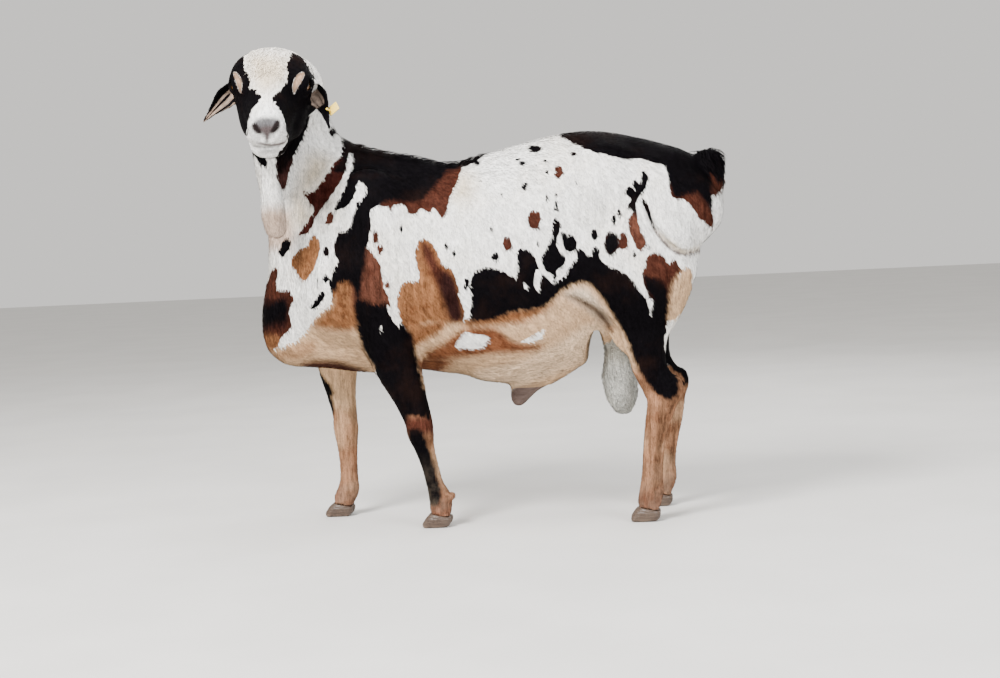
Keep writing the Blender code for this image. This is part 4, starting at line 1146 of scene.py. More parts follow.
HEAD_TINTS = {
    "brow_cream": ((0.660, 0.560, 0.430), 12, [(250, 54), (286, 54), (286, 80), (266, 92), (252, 78)]),
    "nose_grey": ((0.125, 0.122, 0.126), 3.5, [
        (254, 121), (262, 117), (272, 117), (280, 120), (278, 127), (268, 135), (256, 130),
    ]),
    "nose_tip": (NOSE_AND_CREASE_SHADE, 2.5, [(259, 129), (267, 126), (275, 128), (270, 133), (267, 138), (263, 133)]),
    # painted shade: the dark inside of each nostril
    "off_nostril_shade": (NOSTRIL_SHADE, 1.2, [
        (252, 123.5), (256, 122.5), (259.5, 127.5), (261.5, 133), (256.5, 133.5), (252.5, 129),
    ]),
    "near_nostril_shade": (NOSTRIL_SHADE, 1.2, [
        (279.5, 120.5), (275.5, 121), (272.5, 126), (270.5, 132), (275, 132.5), (279.5, 127),
    ]),
    # painted shade: dark lines in the slit of the mouth and the split of the upper lip
    "mouth": (NOSE_AND_CREASE_SHADE, 1.0, [
        (260, 142.8), (272, 144.2), (283, 142), (286, 140), (284, 143.8), (272, 146), (260, 144.4),
    ]),
    "philtrum_shade": (NOSE_AND_CREASE_SHADE, 1.2, [(266, 132), (268.5, 132), (268, 141), (266.5, 141)]),
    "lip_shade": (GREY, 5, [(262, 150), (278, 149), (276, 152), (264, 153)]),
}
HEAD_BROWNS = {
    "off_eye_patch": (PATCH_TAN, [(233.5, 72), (238, 74), (242, 82), (241, 93), (239, 90), (236, 82)]),
    "near_eye_patch": (PATCH_TAN, [
        (302, 72), (304.5, 74), (301, 82), (297, 88), (294.5, 94), (292.5, 88), (293.5, 81), (297, 75),
    ]),
}
HEAD_BLACKS = {
    "off_cheek": [
        (244, 50), (244, 60), (245, 70), (251, 79), (249, 87), (255, 90), (261, 95), (259, 101), (254, 107),
        (250, 115), (248, 124), (247, 137), (238, 140), (215, 110), (215, 66), (232, 46),
    ],
    "near_cheek": [
        (293, 52), (288, 62), (287, 68), (288, 75), (286, 83), (279, 92), (273, 96), (272, 100), (277, 105),
        (281, 111), (284, 118), (285.5, 127), (287, 137), (285, 146), (279, 152), (277, 158), (282, 176),
        (290, 162), (297, 149), (303, 137), (308, 123), (310, 112), (310, 92), (313, 84), (312.5, 76),
        (308, 66), (301, 56),
    ],
}
# Pale patches in the black of the face
HEAD_HOLES = ("off_eye_patch", "near_eye_patch")


def closed_curve(outline, steps=3):
    """Rounded outline through its points."""
    around = [np.roll(np.asarray(outline, float), shift, 0) for shift in (1, 0, -1, -2)]
    curve = [spline(*around, t) for t in np.arange(steps) / steps]
    return np.stack(curve, 1).reshape(-1, 2)


def inside_distance(places, outline):
    """Distance in pixels to a closed outline, positive inside."""
    nearest = np.full(len(places), 1e6)
    inside = np.zeros(len(places), bool)
    u, v = places.T
    for start, end in zip(outline, np.roll(outline, -1, 0)):
        edge = end - start
        off = places - start
        t = np.clip(off @ edge / max(edge @ edge, 1e-9), 0, 1)
        nearest = np.minimum(nearest, ((off - t[:, None] * edge) ** 2).sum(1))
        if start[1] != end[1]:
            crosses = (start[1] > v) != (end[1] > v)
            inside ^= crosses & (u < start[0] + (v - start[1]) / edge[1] * edge[0])
    return np.where(inside, 1.0, -1.0) * np.sqrt(nearest)


def outline_distance(places, outline):
    """As inside_distance to the rounded outline, but only where it matters."""
    curve = closed_curve(outline)
    margin = MARK_REACH / PIXEL
    distance = np.full(len(places), -margin)
    close = ((places > curve.min(0) - margin) & (places < curve.max(0) + margin)).all(1)
    if close.any():
        distance[close] = np.clip(inside_distance(places[close], curve), -margin, margin)
    return distance


RIPPLE_WAVES = 7


def ripple(points, seed, size):
    """Smooth noise from -1 to 1 made of a few waves, size metres long."""
    chance = np.random.default_rng(seed)
    total = np.zeros(len(points))
    for _ in range(RIPPLE_WAVES):
        way = chance.normal(size=3)
        way /= np.linalg.norm(way)
        length = size * chance.uniform(0.6, 1.6)
        total += np.sin(points @ way * 2 * math.pi / length + chance.uniform(0, 6.3))
    return total / (RIPPLE_WAVES / 2)


def paint_marks(places, tints, browns, blacks, whites, spots):
    """Coat colour under the markings, colour of the browns, and distances to brown, black and white."""
    count = len(places)
    margin = MARK_REACH / PIXEL
    tone = np.tile(WHITE, (count, 1))
    brown_tone = np.tile(RED, (count, 1))
    brown, black, white = (np.full(count, -margin) for _ in range(3))
    for colour, soft, outline in tints.values():
        share = ease(-soft, soft, outline_distance(places, outline))[:, None]
        tone += share * (np.array(colour) - tone)
    for colour, outline in browns.values():
        distance = outline_distance(places, outline)
        share = np.where(brown > -1, ease(-4, 6, distance), ease(-7, -2, distance))[:, None]
        brown_tone += share * (np.array(colour) - brown_tone)
        brown = np.maximum(brown, distance)
    for outline in blacks.values():
        black = np.maximum(black, outline_distance(places, outline))
    for outline in whites.values():
        white = np.maximum(white, outline_distance(places, outline))
    layers = {"brown": brown, "black": black, "white": white}
    for kind, dots in spots.items():
        for u, v, wide, high in dots:
            off = (places - (u, v)) / (wide, high)
            distance = (1 - np.sqrt((off ** 2).sum(1))) * min(wide, high)
            layers[kind][:] = np.maximum(layers[kind], np.maximum(distance, -margin))
    return tone, brown_tone, layers


def spine_offset(points):
    """How far the middle plane of neck and head lies to the left of the body's."""
    return -0.50 * np.maximum(points[:, 2] - 0.82, 0)


# Parts of the ram by place, its markings there and the way its hair lies
KNEE_LINE = {1: 0.245, -1: 0.225}   # where the front legs turn brown, by side
HOCK_LINE = 0.262                   # where the hind legs do
WARP = 11                           # how far, in pixels, the right side differs from the left


def in_head(points):
    """Place in head axes: along, out, left."""
    away = points - POLL
    return away @ HEAD_ALONG, away @ HEAD_OUT, away @ HEAD_LEFT


def on_ear(points, s):
    """1 on an ear, and the share of its length."""
    root, tip, axis, _ = ear_frame(s)
    length = np.linalg.norm(tip - root)
    t = (points - root) @ axis / length
    off = np.linalg.norm(points - root - (t * length)[:, None] * axis, axis=1)
    return ease(0.10, 0.20, t) * (off < 0.050), t


def ear_bands(points, s):
    """Dark ridges along the inside of an ear, darkest towards its upper edge, and the share of its length."""
    root, tip, axis, cup = ear_frame(s)
    length = np.linalg.norm(tip - root)
    bend = np.sin(math.pi * np.clip((points - root) @ axis / length, 0, 1))
    away = points - root - np.outer(bend, EAR_SAG[s])
    t = (away @ axis) / length
    wide = np.interp(t, np.linspace(0, 1, len(EAR_WIDTHS)), EAR_WIDTHS)
    across = (away @ np.cross(axis, cup)) / wide
    ridges = 0.5 + 0.5 * np.cos((across * 1.05 + 0.12 * t) * 9.0)
    return np.clip(ease(0.10, 0.55, across * -s) + ridges * ease(0.1, 0.3, t) * 0.80, 0, 1), t


def on_leg(points):
    """1 on a leg, for (front, hind)."""
    x, y, z = points.T
    side = ease(0.040, 0.052, np.abs(y))
    keel = np.where(y < 0, (x > -0.160) | (x < -0.245), x > -0.315)
    front = (x < -0.05) & (np.abs(y) > 0.03) & (z < 0.345) & ((z < 0.290) | ~keel)
    hind = (x > 0.18) & (z < 0.40) & ((x + 0.45 * z > 0.375) | (z < 0.25))
    return front * side, hind * side


def part_masks(points, normals):
    """Shares of the parts that have marks or a finish of their own."""
    x, y, z = points.T
    head = on_head(points)
    masks = {"head": head}
    for s, name in ((1, "left_ear"), (-1, "right_ear")):
        masks[name], t = on_ear(points, s)
        cup = ear_frame(s)[3]
        masks[name + "_cup"] = masks[name] * ease(0.25, 0.60, normals @ cup) * ease(0.05, 0.20, t)
    masks["ears"] = np.maximum(masks["left_ear"], masks["right_ear"])
    masks["front_leg"], masks["hind_leg"] = on_leg(points)
    scrotum = Lump((0.262, 0, 0.295), (0.056, 0.056, 0.105))(points)
    masks["scrotum"] = ease(0.012, 0.0, scrotum) * ease(0.070, 0.052, np.abs(y)) * ease(0.400, 0.375, z)
    sheath = Tube([(0.072, 0, 0.292, 0.03, 0.03), (0.038, 0, 0.245, 0.022, 0.022)])(points)
    masks["sheath"] = ease(0.006, 0.0, sheath) * ease(0.300, 0.285, z)
    along, out, _ = in_head(points)
    nose = ease(0.236, 0.243, along) * ease(-0.046, -0.034, out) * ease(0.006, -0.004, out - 0.006)
    masks["nose"] = nose * head
    lid = np.minimum(*(np.linalg.norm(points - eye_centre(s), axis=1) for s in SIDES))
    masks["lid"] = ease(0.0178, 0.0158, lid) * head
    tip = np.linalg.norm(points - (0.468, -0.010, 0.745), axis=1)
    masks["tail_tip"] = ease(0.056, 0.040, tip) * ease(0.435, 0.450, x)
    return masks


def body_places(points):
    """Left side as the photo shows it; right side mirrored and bent, so that no two sides are alike."""
    middle = spine_offset(points)
    right = points[:, 1] > middle
    mirrored = points.copy()
    mirrored[right, 1] = 2 * middle[right] - points[right, 1]
    places = on_frame(mirrored)
    growth = ease(0.0, 0.05, points[:, 1] - middle)[:, None]
    bend = np.stack([ripple(points, 5, 0.22), ripple(points, 6, 0.22)], 1)
    return places + growth * (bend * WARP + (6, -3))


def leg_marks(points, normals, brown_tone, layers):
    """Tan and brown lower legs, with their black fronts, and painted shade down the groove of the hind
    shanks.
    """
    z = points[:, 2]
    near = points[:, 1] < 0
    wave = ripple(points, 8, 0.06)
    cloud = ripple(points, 9, 0.10)
    front, hind = on_leg(points)
    knee = np.where(near, KNEE_LINE[-1], KNEE_LINE[1])
    limb_tone = np.array(LEG_TAN) * (1 + 0.22 * wave[:, None])
    limb_tone += (ease(0.10, 0.9, cloud) * 0.45)[:, None] * (np.array(TAN) - limb_tone)
    foot = (ease(0.085, 0.045, z) * 0.65)[:, None]
    limb_tone += foot * (np.array(RED) * 1.9 - limb_tone)
    joint = (front * near * ease(0.036, 0.006, np.abs(z - 0.217)))[:, None]
    limb_tone += joint * (np.array(RED) * 1.3 - limb_tone)
    # painted shade: hind shanks darker down their groove, on faces turned sideways
    groove_shade = ease(0.35, 0.75, np.abs(normals[:, 1])) * ease(0.55, 0.15, np.abs(normals[:, 0] - 0.35))
    limb_tone *= (1 - 0.30 * groove_shade * hind * (z < HOCK_LINE))[:, None]
    shank = np.maximum(front * ease(0.075, 0.035, z - knee), hind * ease(0.075, 0.035, z - HOCK_LINE))
    brown_tone += shank[:, None] * (limb_tone - brown_tone)
    brown = layers["brown"]
    for leg, line in ((front, knee), (hind, HOCK_LINE)):
        brown[:] = np.maximum(brown, np.where(leg > 0.3, (line + 0.045 - z) / PIXEL, -FULL))
    black = layers["black"]
    far_front = (front > 0.5) & ~near
    strip = (-normals[:, 0] - 0.45) * 16 - np.abs(z - 0.275) / PIXEL * 0.45 + 3 + 2 * wave
    black[far_front] = np.clip(strip, -FULL, FULL)[far_front]
    brown[far_front] = 8
    upper = (far_front * ease(-0.02, 0.04, z - knee))[:, None]
    brown_tone += upper * (np.array(TAN) * 1.1 - brown_tone)
    near_front = (front > 0.5) & near
    above = (z - knee) / PIXEL
    inner = (normals[:, 1] - 0.35) * 20
    filled = np.maximum(black, above - 4 + 4 * wave + 3 * ripple(points, 23, 0.020))
    filled = np.minimum(filled, np.where(above > 0, FULL - inner, FULL))
    black[near_front] = np.where(above < -8, black, filled)[near_front]
    both_hind = hind > 0.5
    top = (z - HOCK_LINE) / PIXEL
    inner = (normals[:, 1] * np.where(near, 1, -1) - 0.30) * 20
    filled = np.minimum(np.maximum(black, top + 3 * wave), np.where(top > 4, FULL - inner, FULL))
    black[both_hind] = np.where(near, black, filled)[both_hind]


def hidden_marks(points, brown_tone, layers):
    """Plain tan between the thighs and under the far side of the breast, which the photo doesn't show."""
    x, y, z = points.T
    groin = ease(0.075, 0.050, np.abs(y)) * ease(0.530, 0.500, z) * ease(0.17, 0.21, x)
    apron = (y > 0.01) * (x < -0.20) * ease(0.390, 0.370, z) * ease(0.225, 0.260, z)
    for share in (groin, apron):
        brown_tone += share[:, None] * (np.array(TAN) - brown_tone)
    layers["brown"][:] = np.maximum(layers["brown"], 2 * FULL * groin - FULL)
    for name in ("black", "white"):
        layers[name][:] = np.minimum(layers[name], FULL - 2 * FULL * groin)


def head_marks(points, normals):
    """Blaze and cheeks where the face shows in the photo, and the same rule round the rest."""
    away = CAMERA_PLACE - points
    away /= np.linalg.norm(away, axis=1)[:, None]
    facing = ease(-0.02, 0.16, (away * normals).sum(1))
    places = on_frame(points)
    tone, brown_tone, layers = paint_marks(places, HEAD_TINTS, HEAD_BROWNS, HEAD_BLACKS, {}, {})
    layers["black"] += 1.1 * ripple(points, 21, 0.011)
    for name in HEAD_HOLES:
        layers["black"] = np.minimum(layers["black"], -outline_distance(places, HEAD_BROWNS[name][1]))
    along, out, left = in_head(points)
    wave = ripple(points, 12, 0.05)
    cheek = (np.abs(left) - 0.030 - 0.30 * np.maximum(out, 0)) / PIXEL
    cheek = np.minimum(cheek, (along - 0.030) / PIXEL)
    near = ease(0.0, 0.012, left)
    cheek = np.minimum(cheek, (0.205 + 0.028 * near - along) / PIXEL)
    jaw = (-0.030 - out) / PIXEL
    jaw = np.minimum(jaw, (0.180 + 0.035 * near - along) / PIXEL)
    nape = (points - (-0.372, -0.050, 0.930)) / (0.050, 0.042, 0.075)
    cheek = np.minimum(cheek, (np.sqrt((nape ** 2).sum(1)) - 1) * 20)
    rule = np.clip(np.maximum(cheek, jaw) + 2 * wave, -FULL, FULL)
    layers["black"] = facing * layers["black"] + (1 - facing) * rule
    layers["brown"] = facing * layers["brown"] + (1 - facing) * -FULL
    return tone, brown_tone, layers


def paint_points(points, normals):
    """Attributes of the coat and skin at points of the clay."""
    masks = part_masks(points, normals)
    places = body_places(points)
    tone, brown_tone, layers = paint_marks(
        places, BODY_TINTS, BODY_BROWNS, BODY_BLACKS, BODY_WHITES, BODY_SPOTS,
    )
    leg_marks(points, normals, brown_tone, layers)
    hidden_marks(points, brown_tone, layers)
    for name in ("brown", "black", "white"):
        layers[name] += 0.8 * ripple(points, 22, 0.016)
    share = np.maximum(masks["head"], masks["ears"])
    heads = share > 0.5
    if heads.any():
        head_tone, head_brown, head_layers = head_marks(points[heads], normals[heads])
        tone[heads], brown_tone[heads] = head_tone, head_brown
        for name in ("brown", "black"):
            layers[name][heads] = head_layers[name]
        layers["white"][heads] = -FULL
    for s, name in ((1, "left_ear"), (-1, "right_ear")):
        ear = masks[name] > 0.5
        cup = masks[name + "_cup"]
        bands, length = ear_bands(points, s)
        tone[ear] = (np.array(BLUSH) * (0.72 - 0.50 * bands)[:, None])[ear]
        layers["brown"][ear] = -FULL
        if s > 0:
            closed = np.maximum((length - 0.56) * 22, (bands - 0.76) * 14)
        else:
            closed = (bands - 0.56) * 16
        layers["black"][ear] = np.clip(np.maximum((0.45 - cup) * 14, closed), -FULL, FULL)[ear]
    wool = masks["scrotum"][:, None]
    tone += wool * (np.array(WOOL) * (1 + 0.12 * ripple(points, 15, 0.05)[:, None]) - tone)
    for name in ("brown", "black", "white"):
        layers[name] -= masks["scrotum"] * CLEAR
    sheath = masks["sheath"]
    tone += sheath[:, None] * (np.array(SHEATH) - tone)
    for name in ("brown", "black"):
        layers[name] -= sheath * CLEAR * ease(0.285, 0.270, points[:, 2])
    tip = masks["tail_tip"]
    layers["black"] = np.maximum(layers["black"], tip * 2 * FULL - FULL)
    layers["white"] = layers["white"] - tip * 2 * FULL
    marks = np.stack([layers["brown"], layers["black"], layers["white"], np.ones(len(points))], 1)
    marks[:, :3] *= PIXEL * 1000
    bare = np.stack([masks["nose"], np.maximum(masks["left_ear_cup"], masks["right_ear_cup"]),
                     masks["scrotum"], np.maximum(masks["lid"], masks["sheath"])], 1)
    return {
        "tone": tone, "brown_tone": brown_tone, "marks": marks,
        "bare": bare, "lie": hair_lie(points, normals),
    }


LIE_PLACES = [
    # (centre, reach, direction): the nearest places share their direction
    ((-0.300, 0, 0.800), 0.07, (0.8, 0, -0.5)),
    ((-0.150, 0, 0.770), 0.08, (1, 0, -0.30)),
    ((0.050, 0, 0.790), 0.10, (1, 0, -0.30)),
    ((0.300, 0, 0.800), 0.08, (1, 0, -0.45)),
    ((-0.100, 0, 0.600), 0.16, (0.45, 0, -1)),
    ((0.150, 0, 0.600), 0.16, (0.50, 0, -1)),
    ((0.000, 0, 0.400), 0.12, (0.70, 0, -0.8)),
    ((0.000, 0, 0.310), 0.10, (1, 0, -0.10)),
    ((-0.260, 0, 0.560), 0.12, (0.30, 0, -1)),
    ((-0.440, 0, 0.480), 0.10, (0.20, 0, -1)),
    ((-0.330, 0, 0.360), 0.08, (1, 0, -0.15)),
    ((0.300, 0, 0.560), 0.10, (0.40, 0, -1)),
    ((0.400, 0, 0.640), 0.10, (0.30, 0, -1)),
    ((-0.380, 0, 0.780), 0.12, (0.35, 0, -1)),
    ((-0.425, -0.03, 0.900), 0.07, (0.15, 0.35, -1)),
    ((-0.425, -0.18, 0.700), 0.07, (0.05, 0.05, -1)),
]


def hair_lie(points, normals):
    """Unit direction of the hair along the skin."""
    total = np.zeros((len(points), 3))
    weight = np.full(len(points), 1e-9)
    for centre, reach, way in LIE_PLACES:
        near = np.exp(-((points - centre) ** 2 * (1, 0.3, 1)).sum(1) / reach ** 2)
        total += near[:, None] * unit(way)
        weight += near
    total /= weight[:, None]
    leg = ease(0.42, 0.34, points[:, 2])[:, None] * (np.maximum(*on_leg(points)) > 0)[:, None]
    total += leg * (np.array((0.12, 0, -1)) - total)
    head = on_head(points)[:, None]
    fan = np.outer(in_head(points)[2] * 5, HEAD_LEFT) + HEAD_ALONG
    total += head * (fan - total)
    for s in SIDES:
        total += on_ear(points, s)[0][:, None] * (ear_frame(s)[2] - total)
    total -= (total * normals).sum(1)[:, None] * normals
    length = np.linalg.norm(total, axis=1)[:, None]
    fallback = np.cross(normals, (0, 1, 0.2))
    total = np.where(length > 0.05, total / np.maximum(length, 1e-9), fallback)
    return total / np.maximum(np.linalg.norm(total, axis=1)[:, None], 1e-9)


# Meshes from arrays
SHIFT = sum((np.array(corner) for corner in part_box("eye_left")), np.zeros(3)) / 2 - eye_centre(1)


def mesh_from(name, vertices, faces):
    """Mesh at the ram's place on the frame; faces is a list of arrays with equal corners in each."""
    mesh = bpy.data.meshes.new(name)
    corners = np.concatenate([group.ravel() for group in faces]).astype(np.int32)
    sizes = np.concatenate([np.full(len(group), group.shape[1]) for group in faces])
    starts = np.concatenate([[0], np.cumsum(sizes)[:-1]]).astype(np.int32)
    mesh.vertices.add(len(vertices))
    mesh.loops.add(len(corners))
    mesh.polygons.add(len(sizes))
    mesh.vertices.foreach_set("co", (vertices + SHIFT).astype(np.float32).ravel())
    mesh.loops.foreach_set("vertex_index", corners)
    mesh.polygons.foreach_set("loop_start", starts)
    mesh.update(calc_edges=True)
    mesh.validate()
    mesh.shade_smooth()
    return mesh


def new_object(name, data):
    item = bpy.data.objects.new(name, data)
    bpy.context.scene.collection.objects.link(item)
    return item


def mesh_of(form, name):
    """Mesh from a bmesh, which is done with."""
    mesh = bpy.data.meshes.new(name)
    form.to_mesh(mesh)
    form.free()
    return mesh


def add_piece(mesh, material, nodes=()):
    """Object that rides on the ram and, if nodes are named, stands for them."""
    piece = new_object(mesh.name, mesh)
    mesh.materials.clear()
    mesh.materials.append(material)
    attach(piece, "root")
    if nodes:
        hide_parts(*nodes)


def store(mesh, name, values):
    """Values at the mesh's points: three or four numbers as a colour, one as a number."""
    if values.ndim == 1:
        layer = mesh.attributes.new(name, "FLOAT", "POINT")
        layer.data.foreach_set("value", values.astype(np.float32))
        return
    if values.shape[1] == 3:
        values = np.concatenate([values, np.ones((len(values), 1))], 1)
    layer = mesh.attributes.new(name, "FLOAT_COLOR", "POINT")
    layer.data.foreach_set("color", values.astype(np.float32).ravel())


def corners_of(values, faces):
    """Values at the four corners of each face."""
    return [values[faces[:, i]] for i in range(4)]


def point_normals(vertices, faces, across):
    """Smooth normals of a four-sided mesh from the cross products of its faces' diagonals."""
    total = np.zeros_like(vertices)
    for corner in faces.T:
        for axis in range(3):
            total[:, axis] += np.bincount(corner, across[:, axis], len(vertices))
    return total / np.maximum(np.linalg.norm(total, axis=1), 1e-12)[:, None]


def relax(vertices, faces, rounds, share):
    """Even out the skin's small steps without shrinking it."""
    edges = np.concatenate([faces[:, [i, (i + 1) % 4]] for i in range(4)])
    count = np.bincount(edges.ravel(), minlength=len(vertices))[:, None]
    for push in [share, -share * 1.02] * rounds:
        total = np.zeros_like(vertices)
        for axis in range(3):
            total[:, axis] += np.bincount(edges[:, 0], vertices[edges[:, 1], axis], len(vertices))
            total[:, axis] += np.bincount(edges[:, 1], vertices[edges[:, 0], axis], len(vertices))
        vertices = vertices + push * (total / count - vertices)
    return vertices


# Coat: thin tufts, each a closed blade that springs from the skin and lies along it
class Skin:
    """The skin's quads, ready to be sown with tufts."""

    def __init__(self, vertices, faces):
        self.vertices = vertices
        self.faces = faces
        a, b, c, d = corners_of(vertices, faces)
        across = np.cross(c - a, d - b)
        size = np.linalg.norm(across, axis=1)
        self.areas = size / 2
        self.middles = (a + b + c + d) / 4
        self.facing = across / np.maximum(size, 1e-12)[:, None]
        self.normals = point_normals(vertices, faces, across)
        self.masks = part_masks(self.middles, self.facing)

    def sow(self, chance, density):
        """Random points of the skin and their normals; density is tufts to a square metre at each quad."""
        weight = self.areas * density
        count = int(weight.sum())
        places = np.searchsorted(np.cumsum(weight), chance.random(count) * weight.sum())
        places = np.minimum(places, len(weight) - 1)
        u, v = chance.random((2, count, 1))
        blends = []
        for values in (self.vertices, self.normals):
            a, b, c, d = corners_of(values, self.faces[places])
            blends.append((a * (1 - u) + b * u) * (1 - v) + (d * (1 - u) + c * u) * v)
        points, normals = blends
        return points, normals / np.linalg.norm(normals, axis=1)[:, None]


class Tufts:
    """Shape of one kind of tuft: rings from root to tip as (share of length, width, rise)."""

    def __init__(self, rings, sides=3, flat=0.35, round_off=0.35):
        self.rings = rings
        self.sides = sides
        self.flat = flat
        self.round_off = round_off

    def corners(self, ring):
        """Number of corners of a ring; the tip is a single point."""
        return 1 if ring == len(self.rings) - 1 else self.sides

    def grow(self, roots, normals, ways, lengths, widths, rises, sway=None):
        """Vertices (tuft, ring, side) and their normals; sway bends a tuft sideways at each ring."""
        across = np.cross(normals, ways)
        points, facing = [], []
        for i, (t, wide, rise) in enumerate(self.rings):
            middle = roots + ways * (lengths * t)[:, None] + normals * (rises * rise)[:, None]
            if sway is not None:
                middle = middle + across * sway[:, i, None] * (lengths * t)[:, None]
            half = (widths * wide)[:, None] / 2
            for k in range(self.corners(i)):
                angle = 2 * math.pi * (k + 0.25) / self.sides
                flat, high = math.cos(angle), math.sin(angle)
                if i == len(self.rings) - 1:
                    flat = high = 0.0
                points.append(middle + across * half * flat + normals * half * high * self.flat)
                facing.append(normals + self.round_off * (across * flat + normals * high))
        facing = np.stack(facing, 1)
        facing /= np.linalg.norm(facing, axis=2)[:, :, None]
        return np.stack(points, 1), facing

    def faces(self, count):
        """Triangles and quads of so many tufts."""
        sides, rings = self.sides, len(self.rings)
        each = (rings - 1) * sides + 1
        first = np.arange(count)[:, None] * each
        quads, tris = [], []
        for ring in range(rings - 2):
            for k in range(sides):
                j = (k + 1) % sides
                low, high = ring * sides, (ring + 1) * sides
                quads.append(first + np.array([[low + k, low + j, high + j, high + k]]))
        low = (rings - 2) * sides
        for k in range(sides):
            tris.append(first + np.array([[low + k, low + (k + 1) % sides, each - 1]]))
        for k in range(1, sides - 1):
            tris.append(first + np.array([[0, k + 1, k]]))
        groups = [np.concatenate(tris)]
        if quads:
            groups.append(np.concatenate(quads))
        return groups, each


PATCH = 0.003                       # width of a tuft's patch on the unwrap
ROOT_SHARE = 0.05                   # the part of a tuft's length that stays as it springs from the skin
MOST_HUG = 0.006                    # the rest is moved at most this far to follow the skin


def unwrap(roots, axis_point, axis, low, high):
    """Place of each root on the skin unrolled round an axis, from 0 to 1."""
    axis = unit(axis)
    side = unit(np.cross(axis, (0.3, 1, 0.2)))
    other = np.cross(axis, side)
    away = roots - axis_point
    turn = np.arctan2(away @ other, away @ side) / (2 * math.pi) + 0.5
    along = np.clip((away @ axis - low) / (high - low), 0, 1)
    return np.stack([0.01 + 0.98 * turn, 0.01 + 0.98 * along], 1)


def coat_piece(name, kind, roots, normals, ways, sizes, unroll, material, chance,
               sway=None):
    """One joined mesh of tufts with the skin's markings at their roots."""
    lengths, widths, rises = sizes
    points, facing = kind.grow(roots, normals, ways, lengths, widths, rises, sway)
    count, each = points.shape[:2]
    for ring, (t, _, rise) in enumerate(kind.rings):
        if t <= ROOT_SHARE:
            continue
        spots = slice(ring * kind.sides, ring * kind.sides + kind.corners(ring))
        away = skin_form(points[:, spots].mean(1))
        lift = np.clip(rises * rise - away, -MOST_HUG, MOST_HUG)
        points[:, spots] += (normals * lift[:, None])[:, None]
    groups, each = kind.faces(count)
    mesh = mesh_from(name, points.reshape(-1, 3), groups)
    painted = paint_points(roots, normals)
    for key in ("tone", "brown_tone", "marks", "bare"):
        store(mesh, key, np.repeat(painted[key], each, 0))
    store(mesh, "lie", np.repeat(ways * 0.5 + 0.5, each, 0))
    along = np.concatenate([np.full(kind.corners(i), ring[0]) for i, ring in enumerate(kind.rings)])
    strand = np.stack([
        np.repeat(chance.random(count), each), np.tile(along, count), np.repeat(chance.random(count), each),
    ], 1)
    store(mesh, "strand", strand)
    layer = mesh.uv_layers.new(name="OFBake")
    corner = np.zeros(len(mesh.loops), np.int32)
    mesh.loops.foreach_get("vertex_index", corner)
    base = unwrap(roots, *unroll)
    spread = np.zeros((each, 2))
    ring_of = np.minimum(np.arange(each) // kind.sides, len(kind.rings) - 1)
    spread[:, 1] = ring_of / (len(kind.rings) - 1) - 0.5
    spread[:, 0] = (np.arange(each) % kind.sides) / max(kind.sides - 1, 1) - 0.5
    spread[-1, 0] = 0
    places = (base[:, None] + spread[None] * PATCH).reshape(-1, 2)
    layer.data.foreach_set("uv", places[corner].astype(np.float32).ravel())
    mesh.normals_split_custom_set_from_vertices(facing.reshape(-1, 3).astype(np.float32))
    add_piece(mesh, material)


# Shader groups and finishes
def socket(group, name, kind, out=False, default=None):
    way = "OUTPUT" if out else "INPUT"
    item = group.interface.new_socket(name, in_out=way, socket_type="NodeSocket" + kind)
    if default is not None:
        item.default_value = default


class Graph:
    """Short way to write a node tree."""

    def __init__(self, tree):
        self.tree = tree

    def node(self, kind, inputs=(), **settings):
        made = self.tree.nodes.new(kind)
        for key, value in settings.items():
            setattr(made, key, value)
        for key, value in dict(inputs).items():
            self.feed(made.inputs[key], value)
        return made

    def feed(self, target, value):
        if isinstance(value, bpy.types.NodeSocket):
            self.tree.links.new(value, target)
        else:
            target.default_value = value

    def math(self, operation, *values, clamp=False):
        made = self.node("ShaderNodeMath", enumerate(values), operation=operation, use_clamp=clamp)
        return made.outputs[0]

    def times(self, *values, **settings):
        return self.math("MULTIPLY", *values, **settings)

    def plus(self, *values, **settings):
        return self.math("ADD", *values, **settings)

    def less(self, *values, **settings):
        return self.math("SUBTRACT", *values, **settings)

    def group(self, tree, inputs):
        return self.node("ShaderNodeGroup", inputs, node_tree=tree).outputs

    def join(self, x, y, z):
        return self.node("ShaderNodeCombineXYZ", {"X": x, "Y": y, "Z": z}).outputs["Vector"]

    def split(self, vector):
        return self.node("ShaderNodeSeparateXYZ", {"Vector": vector}).outputs

    def split_colour(self, colour):
        return self.node("ShaderNodeSeparateColor", {"Color": colour}).outputs

    def shaded(self, colour, value):
        return self.vector("MULTIPLY", colour, self.join(value, value, value))

    def vector(self, operation, *values):
        made = self.node("ShaderNodeVectorMath", enumerate(values), operation=operation)
        return made.outputs["Vector"]

    def mix(self, share, one, two, blend="MIX"):
        made = self.node("ShaderNodeMix", data_type="RGBA", blend_type=blend, clamp_factor=True)
        for key, value in ((0, share), (6, one), (7, two)):
            self.feed(made.inputs[key], value)
        return made.outputs[2]

    def span(self, value, low, high, to_low=0.0, to_high=1.0):
        """Value from low to high spread smoothly over the new span."""
        made = self.node("ShaderNodeMapRange", {
            "Value": value, "From Min": low, "From Max": high, "To Min": to_low, "To Max": to_high,
        }, interpolation_type="SMOOTHSTEP")
        return made.outputs["Result"]

    def noise(self, vector, scale, detail=3.0, rough=0.55):
        made = self.node("ShaderNodeTexNoise", {
            "Vector": vector, "Scale": scale, "Detail": detail, "Roughness": rough,
        })
        return made.outputs["Fac"]

    def patches(self, scale, rough, low, high, most):
        """Soft patches of noise, from 0 to most."""
        return self.span(self.noise(self.place(), scale, 4.0, rough), low, high, 0.0, most)

    def attribute(self, name, output="Color"):
        return self.node("ShaderNodeAttribute", attribute_name=name).outputs[output]

    def place(self):
        return self.node("ShaderNodeTexCoord").outputs["Object"]


